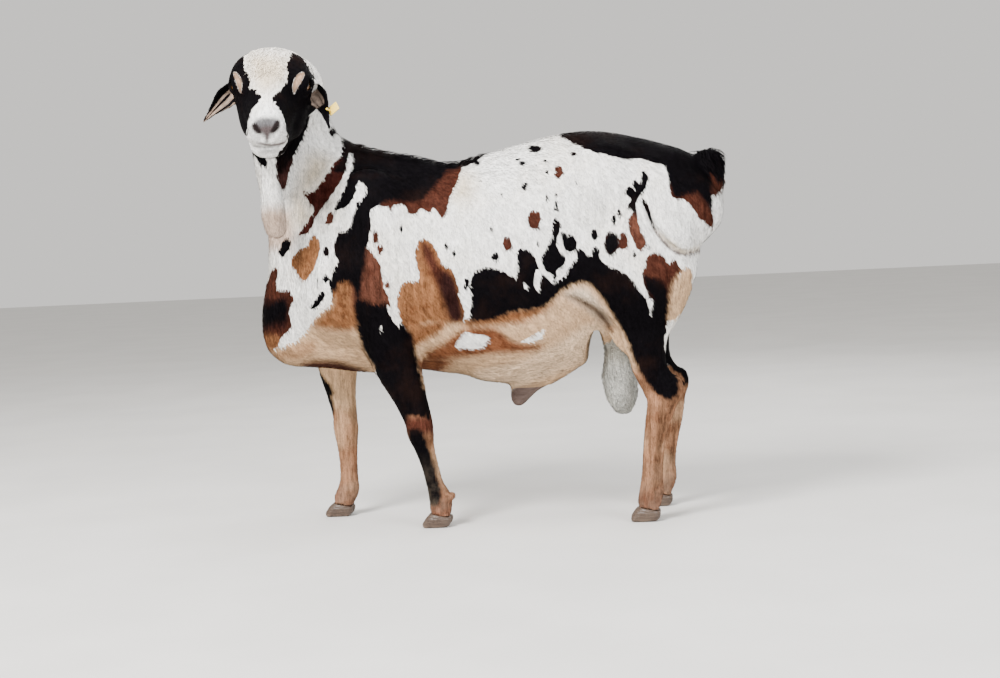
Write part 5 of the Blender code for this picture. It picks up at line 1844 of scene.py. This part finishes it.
def new_group(name, inputs, outputs):
    tree = bpy.data.node_groups.new(name, "ShaderNodeTree")
    for key, kind, default in inputs:
        socket(tree, key, kind, default=default)
    for key, kind in outputs:
        socket(tree, key, kind, out=True)
    graph = Graph(tree)
    return graph, tree.nodes.new("NodeGroupInput").outputs, tree.nodes.new("NodeGroupOutput").inputs


def hair_streaks_group():
    """Fine streaks drawn out along the hair, as a value round a half."""
    graph, given, result = new_group("Hair streaks", [
        ("Lie", "Color", None), ("Scale", "Float", 260.0), ("Stretch", "Float", 0.10),
    ], [("Streaks", "Float"), ("Locks", "Float")])
    place = graph.place()
    way = graph.vector("MULTIPLY_ADD", given["Lie"], (2, 2, 2), (-1, -1, -1))
    size = graph.vector("ABSOLUTE", way)
    split = graph.split(size)
    signs = graph.split(way)
    product = graph.times(signs["X"], signs["Z"])
    slanted = graph.times(graph.math("ABSOLUTE", product), 2.0)
    back = graph.times(slanted, graph.math("LESS_THAN", product, 0.0))
    front = graph.times(slanted, graph.math("GREATER_THAN", product, 0.0))
    weights = [split["X"], split["Y"], split["Z"], back, front]
    turns = [(0, 0, 0), (0, 0, math.pi / 2), (0, math.pi / 2, 0), (0, -math.pi / 4, 0), (0, math.pi / 4, 0)]
    total = fine = coarse = None
    for weight, turn in zip(weights, turns):
        share = graph.math("POWER", weight, 4.0)
        turned = graph.node("ShaderNodeVectorRotate", {"Vector": place, "Rotation": turn},
                            rotation_type="EULER_XYZ").outputs["Vector"]
        drawn = graph.vector("MULTIPLY", turned, graph.join(given["Stretch"], 1.0, 1.0))
        thin = graph.times(share, graph.noise(drawn, given["Scale"], 3.0, 0.6))
        wide = graph.times(share, graph.noise(drawn, graph.times(given["Scale"], 0.28), 2.0))
        total = share if total is None else graph.plus(total, share)
        fine = thin if fine is None else graph.plus(fine, thin)
        coarse = wide if coarse is None else graph.plus(coarse, wide)
    total = graph.math("MAXIMUM", total, 0.001)
    graph.feed(result["Streaks"], graph.math("DIVIDE", fine, total))
    graph.feed(result["Locks"], graph.math("DIVIDE", coarse, total))
    return graph.tree


def markings_group():
    """Brown, black and white laid over the coat's tone, each with an edge broken by the hair."""
    graph, given, result = new_group("Markings", [
        ("Streaks", "Float", 0.5), ("Locks", "Float", 0.5), ("Jag", "Float", 5.0), ("Soft", "Float", 1.0),
    ], [("Color", "Color"), ("Black", "Float"), ("Brown", "Float"), ("Dark", "Float")])
    layers = graph.split_colour(graph.attribute("marks"))
    broken = graph.plus(graph.less(given["Streaks"], 0.5), graph.less(given["Locks"], 0.5))
    broken = graph.times(broken, given["Jag"])
    low = graph.times(given["Soft"], -1.0)
    shares = []
    for name in ("Red", "Green", "Blue"):
        shares.append(graph.span(graph.plus(layers[name], broken), low, given["Soft"]))
    brown, black, white = shares
    faded = graph.span(graph.plus(layers["Green"], graph.times(broken, 3.5)), -7.0, 6.0)
    black = graph.mix(brown, black, faded)
    colour = graph.mix(brown, graph.attribute("tone"), graph.attribute("brown_tone"))
    colour = graph.mix(black, colour, (*BLACK, 1))
    colour = graph.mix(white, colour, (*WHITE, 1))
    keep = graph.less(1.0, white)
    black = graph.times(black, keep)
    brown = graph.times(graph.times(brown, keep), graph.less(1.0, black))
    graph.feed(result["Color"], colour)
    graph.feed(result["Black"], black)
    graph.feed(result["Brown"], brown)
    graph.feed(result["Dark"], graph.math("MAXIMUM", black, brown))
    return graph.tree


def dust_group():
    """Pale dust that settles low on the legs and fades upwards in patches."""
    graph, given, result = new_group("Dust", [
        ("Color", "Color", None), ("Dust Color", "Color", (0.42, 0.33, 0.24, 1)),
        ("Height", "Float", 0.16), ("Amount", "Float", 0.5),
    ], [("Color", "Color"), ("Mask", "Float")])
    place = graph.place()
    rise = graph.split(place)["Z"]
    patches = graph.noise(place, 26.0, 5.0, 0.65)
    level = graph.less(1.0, graph.math("DIVIDE", rise, given["Height"]), clamp=True)
    mask = graph.times(level, graph.span(patches, 0.35, 0.65))
    mask = graph.times(mask, given["Amount"])
    graph.feed(result["Color"], graph.mix(mask, given["Color"], given["Dust Color"]))
    graph.feed(result["Mask"], mask)
    return graph.tree


def pebbles_group():
    """Small cells with creases between, as on a damp nose or bare skin, with a mask of the creases that is
    darkened as painted shade.
    """
    graph, given, result = new_group("Pebbled skin", [
        ("Scale", "Float", 700.0), ("Crease", "Float", 0.25),
    ], [("Height", "Float"), ("Creases", "Float")])
    place = graph.place()
    cells = graph.node("ShaderNodeTexVoronoi", {"Vector": place, "Scale": given["Scale"]},
                       feature="DISTANCE_TO_EDGE").outputs["Distance"]
    crease = graph.span(cells, 0.0, given["Crease"])
    folds = graph.noise(place, graph.times(given["Scale"], 0.18), 4.0)
    graph.feed(result["Height"], graph.plus(crease, folds))
    graph.feed(result["Creases"], graph.less(1.0, crease))
    return graph.tree


STREAKS = hair_streaks_group()
MARKINGS = markings_group()
DUST = dust_group()
PEBBLES = pebbles_group()


class Finish(Graph):
    """Node tree of a material."""

    def __init__(self, name):
        self.material = bpy.data.materials.new(name)
        self.material.use_nodes = True
        super().__init__(self.material.node_tree)
        self.shader = self.tree.nodes["Principled BSDF"].inputs

    def finish(self, colour, rough, relief=None, strength=0.0, distance=0.0):
        """Feed the shader and hand over the material; distance is the relief's height in metres."""
        self.feed(self.shader["Base Color"], colour)
        self.feed(self.shader["Roughness"], rough)
        if relief is not None:
            made = self.node("ShaderNodeBump", {"Height": relief, "Strength": strength, "Distance": distance})
            self.feed(self.shader["Normal"], made.outputs["Normal"])
        return self.material


STREAK_SCALE = 420.0


def coat_finish(name, tuft, jag, bump):
    """Short coat: the skin below and the tufts on it differ only in relief and in how each tuft is tinted."""
    graph = Finish(name)
    streaks = graph.group(STREAKS, {"Lie": graph.attribute("lie"), "Scale": STREAK_SCALE})
    fine, locks = streaks["Streaks"], streaks["Locks"]
    marks = graph.group(MARKINGS, {"Streaks": fine, "Locks": locks, "Jag": jag, "Soft": 0.8})
    bare = graph.split_colour(graph.attribute("bare"))
    nose, ear, wool = (bare[name] for name in ("Red", "Green", "Blue"))
    lids = graph.attribute("bare", "Alpha")
    skin = graph.group(PEBBLES, {"Scale": 620.0})
    calm = graph.plus(graph.span(fine, 0.30, 0.72, 0.76, 1.12), graph.span(locks, 0.33, 0.67, -0.15, 0.09))
    lively = graph.plus(graph.span(fine, 0.30, 0.72, 0.66, 1.16), graph.span(locks, 0.33, 0.67, -0.26, 0.30))
    shade = graph.split_colour(graph.attribute("brown_tone"))["Green"]
    brown = graph.times(marks["Brown"], graph.span(shade, 0.30, 0.10, 0.25, 1.0))
    tint = graph.plus(calm, graph.times(brown, graph.less(lively, calm)))
    if tuft:
        strand = graph.split_colour(graph.attribute("strand"))
        own = graph.span(strand["Red"], 0.0, 1.0, 0.74, 1.20)
        # painted shade: each tuft darker at its root and lighter towards its tip
        root = graph.span(strand["Green"], 0.0, 0.7, 0.72, 1.06)
        tint = graph.times(tint, graph.times(own, root))
    colour = graph.shaded(marks["Color"], tint)
    yellow = graph.patches(7.0, 0.6, 0.42, 0.72, 0.50)
    pale = graph.less(1.0, marks["Dark"])
    colour = graph.mix(graph.times(yellow, pale), colour, (0.93, 0.86, 0.74, 1), "MULTIPLY")
    deep = graph.patches(42.0, 0.65, 0.46, 0.70, 0.55)
    colour = graph.mix(graph.times(deep, brown), colour, (0.42, 0.30, 0.26, 1), "MULTIPLY")
    rust = graph.patches(11.0, 0.6, 0.50, 0.72, 0.50)
    colour = graph.mix(graph.times(rust, marks["Black"]), colour, (0.012, 0.0055, 0.004, 1))
    dust = graph.group(DUST, {"Color": colour, "Amount": 0.20})
    veins = graph.span(graph.noise(graph.place(), 90.0, 3.0), 0.40, 0.60, 0.72, 1.15)
    colour = graph.mix(graph.times(ear, 0.85), dust["Color"], graph.shaded(dust["Color"], veins))
    colour = graph.mix(graph.times(lids, 0.5), colour, (0.020, 0.014, 0.012, 1))
    # painted shade: the creases between the nose's cells darkened
    creases = graph.times(graph.times(nose, skin["Creases"]), 0.7)
    colour = graph.mix(creases, colour, (0.030, 0.022, 0.022, 1))
    rough = graph.plus(0.80, graph.times(marks["Black"], -0.26))
    rough = graph.plus(rough, graph.times(marks["Brown"], -0.16))
    rough = graph.plus(rough, graph.span(fine, 0.30, 0.70, -0.08, 0.08))
    rough = graph.plus(rough, graph.times(nose, -0.22))
    rough = graph.plus(rough, graph.times(dust["Mask"], 0.4), clamp=True)
    hair = graph.plus(fine, graph.times(locks, 1.4))
    curls = graph.noise(graph.place(), 240.0, 4.0, 0.7)
    hair = graph.plus(hair, graph.times(wool, graph.times(curls, 3.0)))
    smooth = graph.math("MAXIMUM", nose, graph.times(ear, 0.6), clamp=True)
    furred = graph.times(hair, graph.less(1.0, smooth))
    relief = graph.plus(furred, graph.times(skin["Height"], nose))
    graph.shader["Specular IOR Level"].default_value = 0.012
    return graph.finish(colour, rough, relief, bump, 0.0012)


def horn_finish():
    """Dusty horn with growth rings, chips and a worn lower edge."""
    graph = Finish("hoof horn")
    place = graph.place()
    height = graph.split(place)["Z"]
    wave = graph.noise(place, 60.0, 3.0)
    level = graph.plus(graph.times(height, 900.0), graph.times(wave, 9.0))
    rings = graph.math("SINE", level)
    grain = graph.noise(graph.vector("MULTIPLY", place, (1, 1, 0.12)), 900.0, 4.0)
    colour = graph.mix(graph.span(grain, 0.35, 0.70), (0.034, 0.019, 0.012, 1), (0.076, 0.045, 0.029, 1))
    colour = graph.mix(graph.span(rings, -0.6, 1.0, 0.0, 0.18), colour, (0.120, 0.074, 0.050, 1))
    worn = graph.times(graph.span(height, 0.010, 0.0), graph.span(wave, 0.35, 0.6))
    colour = graph.mix(worn, colour, (0.140, 0.090, 0.062, 1))
    dust = graph.group(DUST, {"Color": colour, "Height": 0.05, "Amount": 0.08})
    rough = graph.plus(graph.span(grain, 0.3, 0.7, 0.38, 0.58), graph.times(dust["Mask"], 0.4))
    relief = graph.plus(rings, graph.times(grain, 1.6))
    return graph.finish(dust["Color"], rough, relief, 0.3, 0.0006)


def eye_finish():
    """Brown iris with a level pupil under a clear wet coat; colours follow the distance from the pupil."""
    graph = Finish("eye glass")
    split = graph.split_colour(graph.attribute("iris"))
    across, up = split["Red"], split["Green"]
    radius = graph.math("SQRT", graph.plus(graph.times(across, across), graph.times(up, up)))
    slit = graph.plus(*(
        graph.math("POWER", graph.math("ABSOLUTE", graph.math("DIVIDE", way, half)), power)
        for way, half, power in ((across, 0.42, 2.6), (up, 0.20, 2.0))
    ))
    spokes = graph.noise(graph.join(graph.math("ARCTAN2", up, across), radius, 0.3), 9.0, 4.0)
    iris = graph.mix(graph.span(spokes, 0.35, 0.65), (0.045, 0.018, 0.006, 1), (0.150, 0.066, 0.020, 1))
    iris = graph.mix(graph.span(radius, 0.55, 0.72), iris, (0.008, 0.004, 0.003, 1))
    white = graph.mix(graph.noise(graph.place(), 300.0), (0.110, 0.070, 0.050, 1), (0.200, 0.140, 0.110, 1))
    colour = graph.mix(graph.span(radius, 0.70, 0.86), iris, white)
    colour = graph.mix(graph.span(slit, 1.15, 0.85), colour, (0.001, 0.001, 0.001, 1))
    graph.shader["Coat Weight"].default_value = 1.0
    graph.shader["Coat Roughness"].default_value = 0.03
    film = graph.noise(graph.place(), 160.0, 2.0)
    return graph.finish(colour, graph.span(spokes, 0.3, 0.7, 0.10, 0.16), film, 0.04, 0.0005)


def tag_finish():
    """Moulded yellow plastic, slightly grained and soiled."""
    graph = Finish("tag plastic")
    place = graph.place()
    grain = graph.noise(place, 1400.0, 3.0)
    soil = graph.noise(place, 120.0, 4.0, 0.65)
    share = graph.span(soil, 0.45, 0.75, 0.0, 0.6)
    colour = graph.mix(share, (0.800, 0.560, 0.090, 1), (0.480, 0.320, 0.090, 1))
    return graph.finish(colour, graph.span(soil, 0.3, 0.7, 0.30, 0.55), grain, 0.25, 0.0002)


def floor_finish():
    """Plain pale floor."""
    graph = Finish("pale floor")
    mottle = graph.noise(graph.place(), 3.0, 4.0)
    colour = graph.mix(graph.span(mottle, 0.3, 0.7), (0.600, 0.590, 0.570, 1), (0.640, 0.630, 0.610, 1))
    return graph.finish(colour, graph.span(mottle, 0.3, 0.7, 0.75, 0.85))


# Hooves, eyes and ear tag
RING_DEPTH = 0.00035                # growth rings of the horn
RING_GAP = 0.0042
CLAW_INSET = 0.0003                 # keeps the rings within the solid


def claw_form(foot, s):
    """Distance to one claw: the flesh below the coronet and on its side of the cleft, ringed."""
    place, normal = coronet(foot)
    middle = FEET[foot][1]

    def distance(points):
        level = (points - place) @ normal
        rings = RING_DEPTH * np.sin(level * 2 * math.pi / RING_GAP) * ease(0.004, 0.010, points[:, 2])
        solid = flesh(points) + CLAW_INSET + rings
        solid = np.maximum(solid, level + NODE_GAP)
        return np.maximum(solid, NODE_GAP - s * (points[:, 1] - middle))
    return distance


def claw_piece(foot, s, claw, material):
    x, y = FEET[foot]
    lines = [
        np.arange(x - 0.052, x + 0.044, HOOF_GRID),
        np.arange(y - 0.036, y + 0.036, HOOF_GRID) + HOOF_GRID / 3,
        np.arange(-0.004, 0.048, HOOF_GRID),
    ]
    vertices, faces = net(claw_form(foot, s), lines)
    vertices, faces = largest_shell(vertices, faces)
    vertices = relax(vertices, faces, 1, 0.4)
    vertices[:, 2] = np.maximum(vertices[:, 2], 0)
    node = f"{foot}_hoof_{claw}"
    mesh = mesh_from(node.replace("_hoof", "_claw"), vertices, [faces])
    add_piece(mesh, material, [node])


CORNEA_RISE = 0.035                 # shares of the eye's radius
EYE_PLAY = 0.02
IRIS_REACH = 0.92
BEHIND_IRIS = 1.5                   # place given to the back of the eyeball


def eye_piece(s, node, material):
    """Eyeball with the bulge of its cornea, facing out between the lids."""
    form = bmesh.new()
    bmesh.ops.create_icosphere(form, subdivisions=5, radius=1)
    axis = eye_axis(s)
    run = unit(HEAD_ALONG - (HEAD_ALONG @ axis) * axis)
    frame_axes = np.stack([run, np.cross(axis, run), axis], 1)
    points = np.array([v.co for v in form.verts])
    mesh = mesh_of(form, node.replace("eye", "eyeball"))
    bulge = 1 - CORNEA_RISE * ease(0.60, 0.85, 1 - points[:, 2]) - EYE_PLAY
    local = points * bulge[:, None] * EYE_RADIUS
    mesh.vertices.foreach_set("co", (local @ frame_axes.T + eye_centre(s) + SHIFT).astype(np.float32).ravel())
    mesh.shade_smooth()
    iris = points[:, :2] / IRIS_REACH
    iris[points[:, 2] < 0] = BEHIND_IRIS
    store(mesh, "iris", np.concatenate([iris, points[:, 2:]], 1))
    add_piece(mesh, material, [node])


def edges_at(form, vertices):
    """Edges that meet the vertices, in the mesh's own order, so that each run bevels them alike."""
    form.edges.index_update()
    return sorted({edge for vertex in vertices for edge in vertex.link_edges}, key=lambda edge: edge.index)


def rounded_box(form, half, centre, bevel):
    made = bmesh.ops.create_cube(form, size=2)["verts"]
    bmesh.ops.scale(form, vec=half, verts=made)
    bmesh.ops.translate(form, vec=centre, verts=made)
    bmesh.ops.bevel(form, geom=edges_at(form, made), offset=bevel, segments=3, profile=0.5, affect="EDGES")


TAG_ALONG = 0.72
TAG_OUT = 0.0088
TAG_IN = 0.0040
TAG_ASIDE = 0.0085                  # stud from the ear's middle, towards its outer edge
TAG_HANG = 0.0075                   # plate's middle from the stud, the same way


def tag_piece(material):
    """Blank tag: a thin plate behind the ear, its stud, and a domed button in the cup."""
    root, tip, axis, cup = ear_frame(1)
    place = root + (tip - root) * TAG_ALONG + np.array(EAR_SAG[1]) * math.sin(math.pi * TAG_ALONG)
    form = bmesh.new()
    rounded_box(form, (0.0100, 0.0125, 0.0011), (0, TAG_ASIDE + TAG_HANG, -TAG_OUT), 0.0010)
    for radius, top, low in ((0.0025, TAG_IN + 0.0010, TAG_IN - 0.0010), (0.0021, TAG_IN, -TAG_OUT)):
        made = bmesh.ops.create_cone(
            form, cap_ends=True, segments=28, radius1=radius * 1.04, radius2=radius * 0.9,
            depth=top - low, matrix=Matrix.Translation((0, TAG_ASIDE, (top + low) / 2)),
        )
        edges = edges_at(form, made["verts"])
        rims = [edge for edge in edges if len(edge.link_faces) == 2 and edge.calc_face_angle() > 1]
        bmesh.ops.bevel(form, geom=rims, offset=0.0004, segments=2, profile=0.5, affect="EDGES")
    frame_axes = np.stack([axis, np.cross(cup, axis), cup], 1)
    form.transform(Matrix.Translation(Vector(place + SHIFT)) @ Matrix(frame_axes.tolist()).to_4x4())
    mesh = mesh_of(form, "blank_tag")
    mesh.shade_smooth()
    mesh.set_sharp_from_angle(angle=math.radians(50))
    add_piece(mesh, material, ["ear_tag"])


# Coat: where each kind of tuft grows
SHORT = Tufts([(-0.10, 0.80, -0.35), (0.45, 1.00, 0.80), (1.00, 0.0, 0.85)])
LONG = Tufts([
    (-0.06, 0.9, -0.3), (0.25, 1.0, 0.6), (0.55, 0.85, 1.0), (0.80, 0.55, 0.9), (1.0, 0.0, 0.6),
], 4, 0.45)
SWAY = np.array([0, 0.35, -0.20, 0.25, 0.10])   # how a long tuft swings from ring to ring
# Regions by cylinder for the unwrap: point on the axis, axis, low and high
UNROLLS = {
    "trunk": ((0.0, 0, 0.55), (1, 0, 0), -0.55, 0.55),
    "neck": ((-0.40, 0, 0.75), (-0.25, -0.2, 1), -0.25, 0.35),
    "head": ((-0.43, -0.15, 0.90), (0.11, -0.84, -0.53), -0.20, 0.25),
    "front_legs": ((-0.26, 0, 0.2), (0, 0, 1), -0.2, 0.3),
    "hind_legs": ((0.32, 0, 0.2), (0, 0, 1), -0.2, 0.35),
    "tail": ((0.41, 0, 0.62), (0, 0, 1), -0.12, 0.20),
}
# Coat pieces by name: (unwrap, tufts to a square metre, length, width, rise)
COATS = {
    f"coat_{side}_{part}": ("trunk", density, 0.0090, 0.0014, 0.0021)
    for side, density in (("left", 78000), ("right", 66000)) for part in ("shoulder", "barrel", "rump")
}
COATS |= {
    "coat_neck": ("neck", 90000, 0.0095, 0.0014, 0.0020),
    "coat_head": ("head", 110000, 0.0048, 0.0010, 0.0004),
    "coat_front_legs": ("front_legs", 80000, 0.0060, 0.0012, 0.0006),
    "coat_hind_legs": ("hind_legs", 80000, 0.0060, 0.0012, 0.0006),
    "coat_tail": ("tail", 85000, 0.0105, 0.0015, 0.0024),
}


BARE_PARTS = ("nose", "left_ear_cup", "right_ear_cup", "lid", "sheath")


def coat_regions(points, masks):
    """Name of the coat piece that each point belongs to."""
    x, y, z = points.T
    region = np.where(y > 0, "coat_right_barrel", "coat_left_barrel").astype("<U20")
    for side, there in (("left", y <= 0), ("right", y > 0)):
        region[there & (x < -0.11)] = f"coat_{side}_shoulder"
        region[there & (x > 0.17)] = f"coat_{side}_rump"
    region[(x > 0.385) & (z > 0.50)] = "coat_tail"
    neck = (x < -0.30) & (z > 0.62 - 0.5 * (x + 0.30))
    region[neck] = "coat_neck"
    region[masks["head"] > 0.5] = "coat_head"
    region[masks["ears"] > 0.5] = "coat_head"
    region[masks["front_leg"] > 0.3] = "coat_front_legs"
    region[masks["hind_leg"] > 0.3] = "coat_hind_legs"
    return region


def dress(skin, material):
    chance = np.random.default_rng(11)
    regions = coat_regions(skin.middles, skin.masks)
    bare = np.maximum.reduce([skin.masks[part] for part in BARE_PARTS])
    bare = np.maximum(bare, ease(0.032, 0.026, skin.middles[:, 2]) * 0.7)
    for name, (unroll, density, length, width, rise) in COATS.items():
        here = (regions == name) * density * (1 - np.clip(bare, 0, 1))
        roots, normals = skin.sow(chance, here)
        count = len(roots)
        ways = hair_lie(roots, normals)
        stray = chance.normal(0, 0.16, count)
        ways = ways + np.cross(normals, ways) * stray[:, None]
        ways /= np.linalg.norm(ways, axis=1)[:, None]
        vary = chance.uniform(0.7, 1.25, count)
        widths = width * chance.uniform(0.75, 1.25, count)
        sizes = (length * vary, widths, rise * chance.uniform(0.6, 1.2, count))
        coat_piece(name, SHORT, roots, normals, ways, sizes, UNROLLS[unroll], material, chance)


def blend_ways(ways, normals, chance, pull, spread):
    """Hair directions drawn towards pull and scattered, kept along the skin."""
    ways = ways + np.array(pull) + chance.normal(0, spread, ways.shape)
    ways -= (ways * normals).sum(1)[:, None] * normals
    return ways / np.linalg.norm(ways, axis=1)[:, None]


def add_locks(skin, material):
    """Longer hair: the tail's end, the crest of the withers, the forehead and the woolly scrotum."""
    chance = np.random.default_rng(23)
    x, y, z = skin.middles.T
    along, out, left = in_head(skin.middles)
    tip = skin.masks["tail_tip"] > 0.25
    wool = skin.masks["scrotum"] > 0.4
    crest = (np.abs(y - spine_offset(skin.middles)) < 0.030) & (x > -0.29) & (x < -0.02) & (z > 0.70)
    front = skin.facing @ HEAD_OUT * 0.8 + skin.facing @ HEAD_ALONG * 0.6
    brow = (skin.masks["head"] > 0.9) & (out > 0.0) & (front > 0.35)
    brow &= (along < 0.125) & (along > -0.02) & (np.abs(left) < 0.052)
    brow[brow] = head_marks(skin.middles[brow], skin.facing[brow])[2]["black"] < -3.5
    # name: (where, tufts to a square metre, length, width, rise, pull, spread, curl, unwrap, slot)
    kinds = {
        "tail_tip_locks":
            (tip, 34000, 0.026, 0.0032, 0.0060, (0.6, 0, -1.2), 0.26, 0.35, "tail", "black_hair"),
        "withers_crest":
            (crest, 24000, 0.021, 0.0024, 0.0060, (0, 0, 0), 0.16, 0.15, "trunk", "black_coat"),
        "forehead_waves":
            (brow, 24000, 0.024, 0.0031, 0.0016, (0, 0, 0), 0.20, 1.20, "head", "white_coat"),
        "scrotum_wool":
            (wool, 30000, 0.009, 0.0024, 0.0030, (0, 0, -0.5), 0.80, 0.80, "hind_legs", "bare_skin"),
    }
    for name, (where, density, length, width, rise, pull, spread, curl, unroll, slot) in kinds.items():
        roots, normals = skin.sow(chance, density * where)
        count = len(roots)
        ways = blend_ways(hair_lie(roots, normals), normals, chance, pull, spread)
        vary = chance.uniform(0.65, 1.25, count)
        turn = np.clip(1.6 * ripple(roots, 31, 0.030), -1, 1)
        sway = curl * (turn[:, None] * SWAY + chance.normal(0, 0.08, (count, len(SWAY))))
        widths = width * chance.uniform(0.7, 1.2, count)
        sizes = (length * vary, widths, rise * chance.uniform(0.5, 1.3, count))
        coat_piece(name, LONG, roots, normals, ways, sizes, UNROLLS[unroll], material, chance, sway)


FLOOR_DROP = 0.0005                 # floor under the soles
WORLD_COLOUR = (0.84, 0.82, 0.79, 1)
WORLD_STRENGTH = 1.08
LIT_POINT = Vector((0, 0, 0.5))     # all lights are turned to it


def stage_floor():
    form = bmesh.new()
    bmesh.ops.create_grid(form, x_segments=8, y_segments=8, size=14)
    mesh = mesh_of(form, "floor")
    mesh.materials.append(floor_finish())
    floor = new_object("floor", mesh)
    floor.location.z = -FLOOR_DROP


def area_light(name, place, size, power, colour=(1, 1, 1)):
    light = bpy.data.lights.new(name, "AREA")
    light.shape = "DISK"
    light.size = size
    light.energy = power
    light.color = colour
    item = new_object(name, light)
    item.location = place
    item.rotation_euler = (LIT_POINT - Vector(place)).to_track_quat("-Z", "Y").to_euler()


def light_studio():
    world = bpy.data.worlds.new("studio")
    bpy.context.scene.world = world
    world.use_nodes = True
    sky = world.node_tree.nodes["Background"].inputs
    sky["Color"].default_value = WORLD_COLOUR
    sky["Strength"].default_value = WORLD_STRENGTH
    area_light("key", (-1.6, -2.6, 3.2), 1.6, 425, (1.0, 0.98, 0.96))
    area_light("top", (0.5, 0.0, 3.6), 2.4, 65)
    area_light("fill", (2.6, -2.4, 1.6), 2.0, 112, (0.95, 0.97, 1.0))
    area_light("back", (0.6, 3.0, 2.4), 2.0, 45)


def set_camera():
    right, up, forward = camera_axes()
    camera = bpy.data.cameras.new("view")
    camera.sensor_width = SENSOR
    camera.lens = FOCAL * SENSOR / FRAME_WIDTH
    camera.clip_start = 0.05
    item = new_object("view", camera)
    turn = Matrix((right.tolist(), up.tolist(), (-forward).tolist())).transposed().to_4x4()
    item.matrix_world = Matrix.Translation(Vector(CAMERA_PLACE + SHIFT)) @ turn
    bpy.context.scene.camera = item


FLESH_NODES = [
    "torso", "neck", "head", "dewlap", "ear_left", "ear_right", "tail", "tail_tip", "scrotum", "sheath",
]
FLESH_NODES += [f"{foot}_{half}" for foot in FEET for half in ("upper", "lower")]


def main():
    vertices, faces = net(skin_form, skin_lines())
    vertices, faces = largest_shell(vertices, faces)
    vertices = relax(vertices, faces, 2, 0.35)
    skin = Skin(vertices, faces)
    mesh = mesh_from("ram_skin", vertices, [faces])
    for key, values in paint_points(vertices, skin.normals).items():
        store(mesh, key, values * 0.5 + 0.5 if key == "lie" else values)
    skin_finish = coat_finish("short coat on skin", False, 3.0, 0.35)
    tuft_finish = coat_finish("short coat tufts", True, 1.5, 0.20)
    add_piece(mesh, skin_finish, FLESH_NODES)
    dress(skin, tuft_finish)
    add_locks(skin, tuft_finish)
    horn = horn_finish()
    for foot in FEET:
        outward = 1 if FEET[foot][1] > 0 else -1
        for s, claw in ((outward, "outer"), (-outward, "inner")):
            claw_piece(foot, s, claw, horn)
    glass = eye_finish()
    eye_piece(1, "eye_left", glass)
    eye_piece(-1, "eye_right", glass)
    tag_piece(tag_finish())
    stage_floor()
    light_studio()
    set_camera()


main()
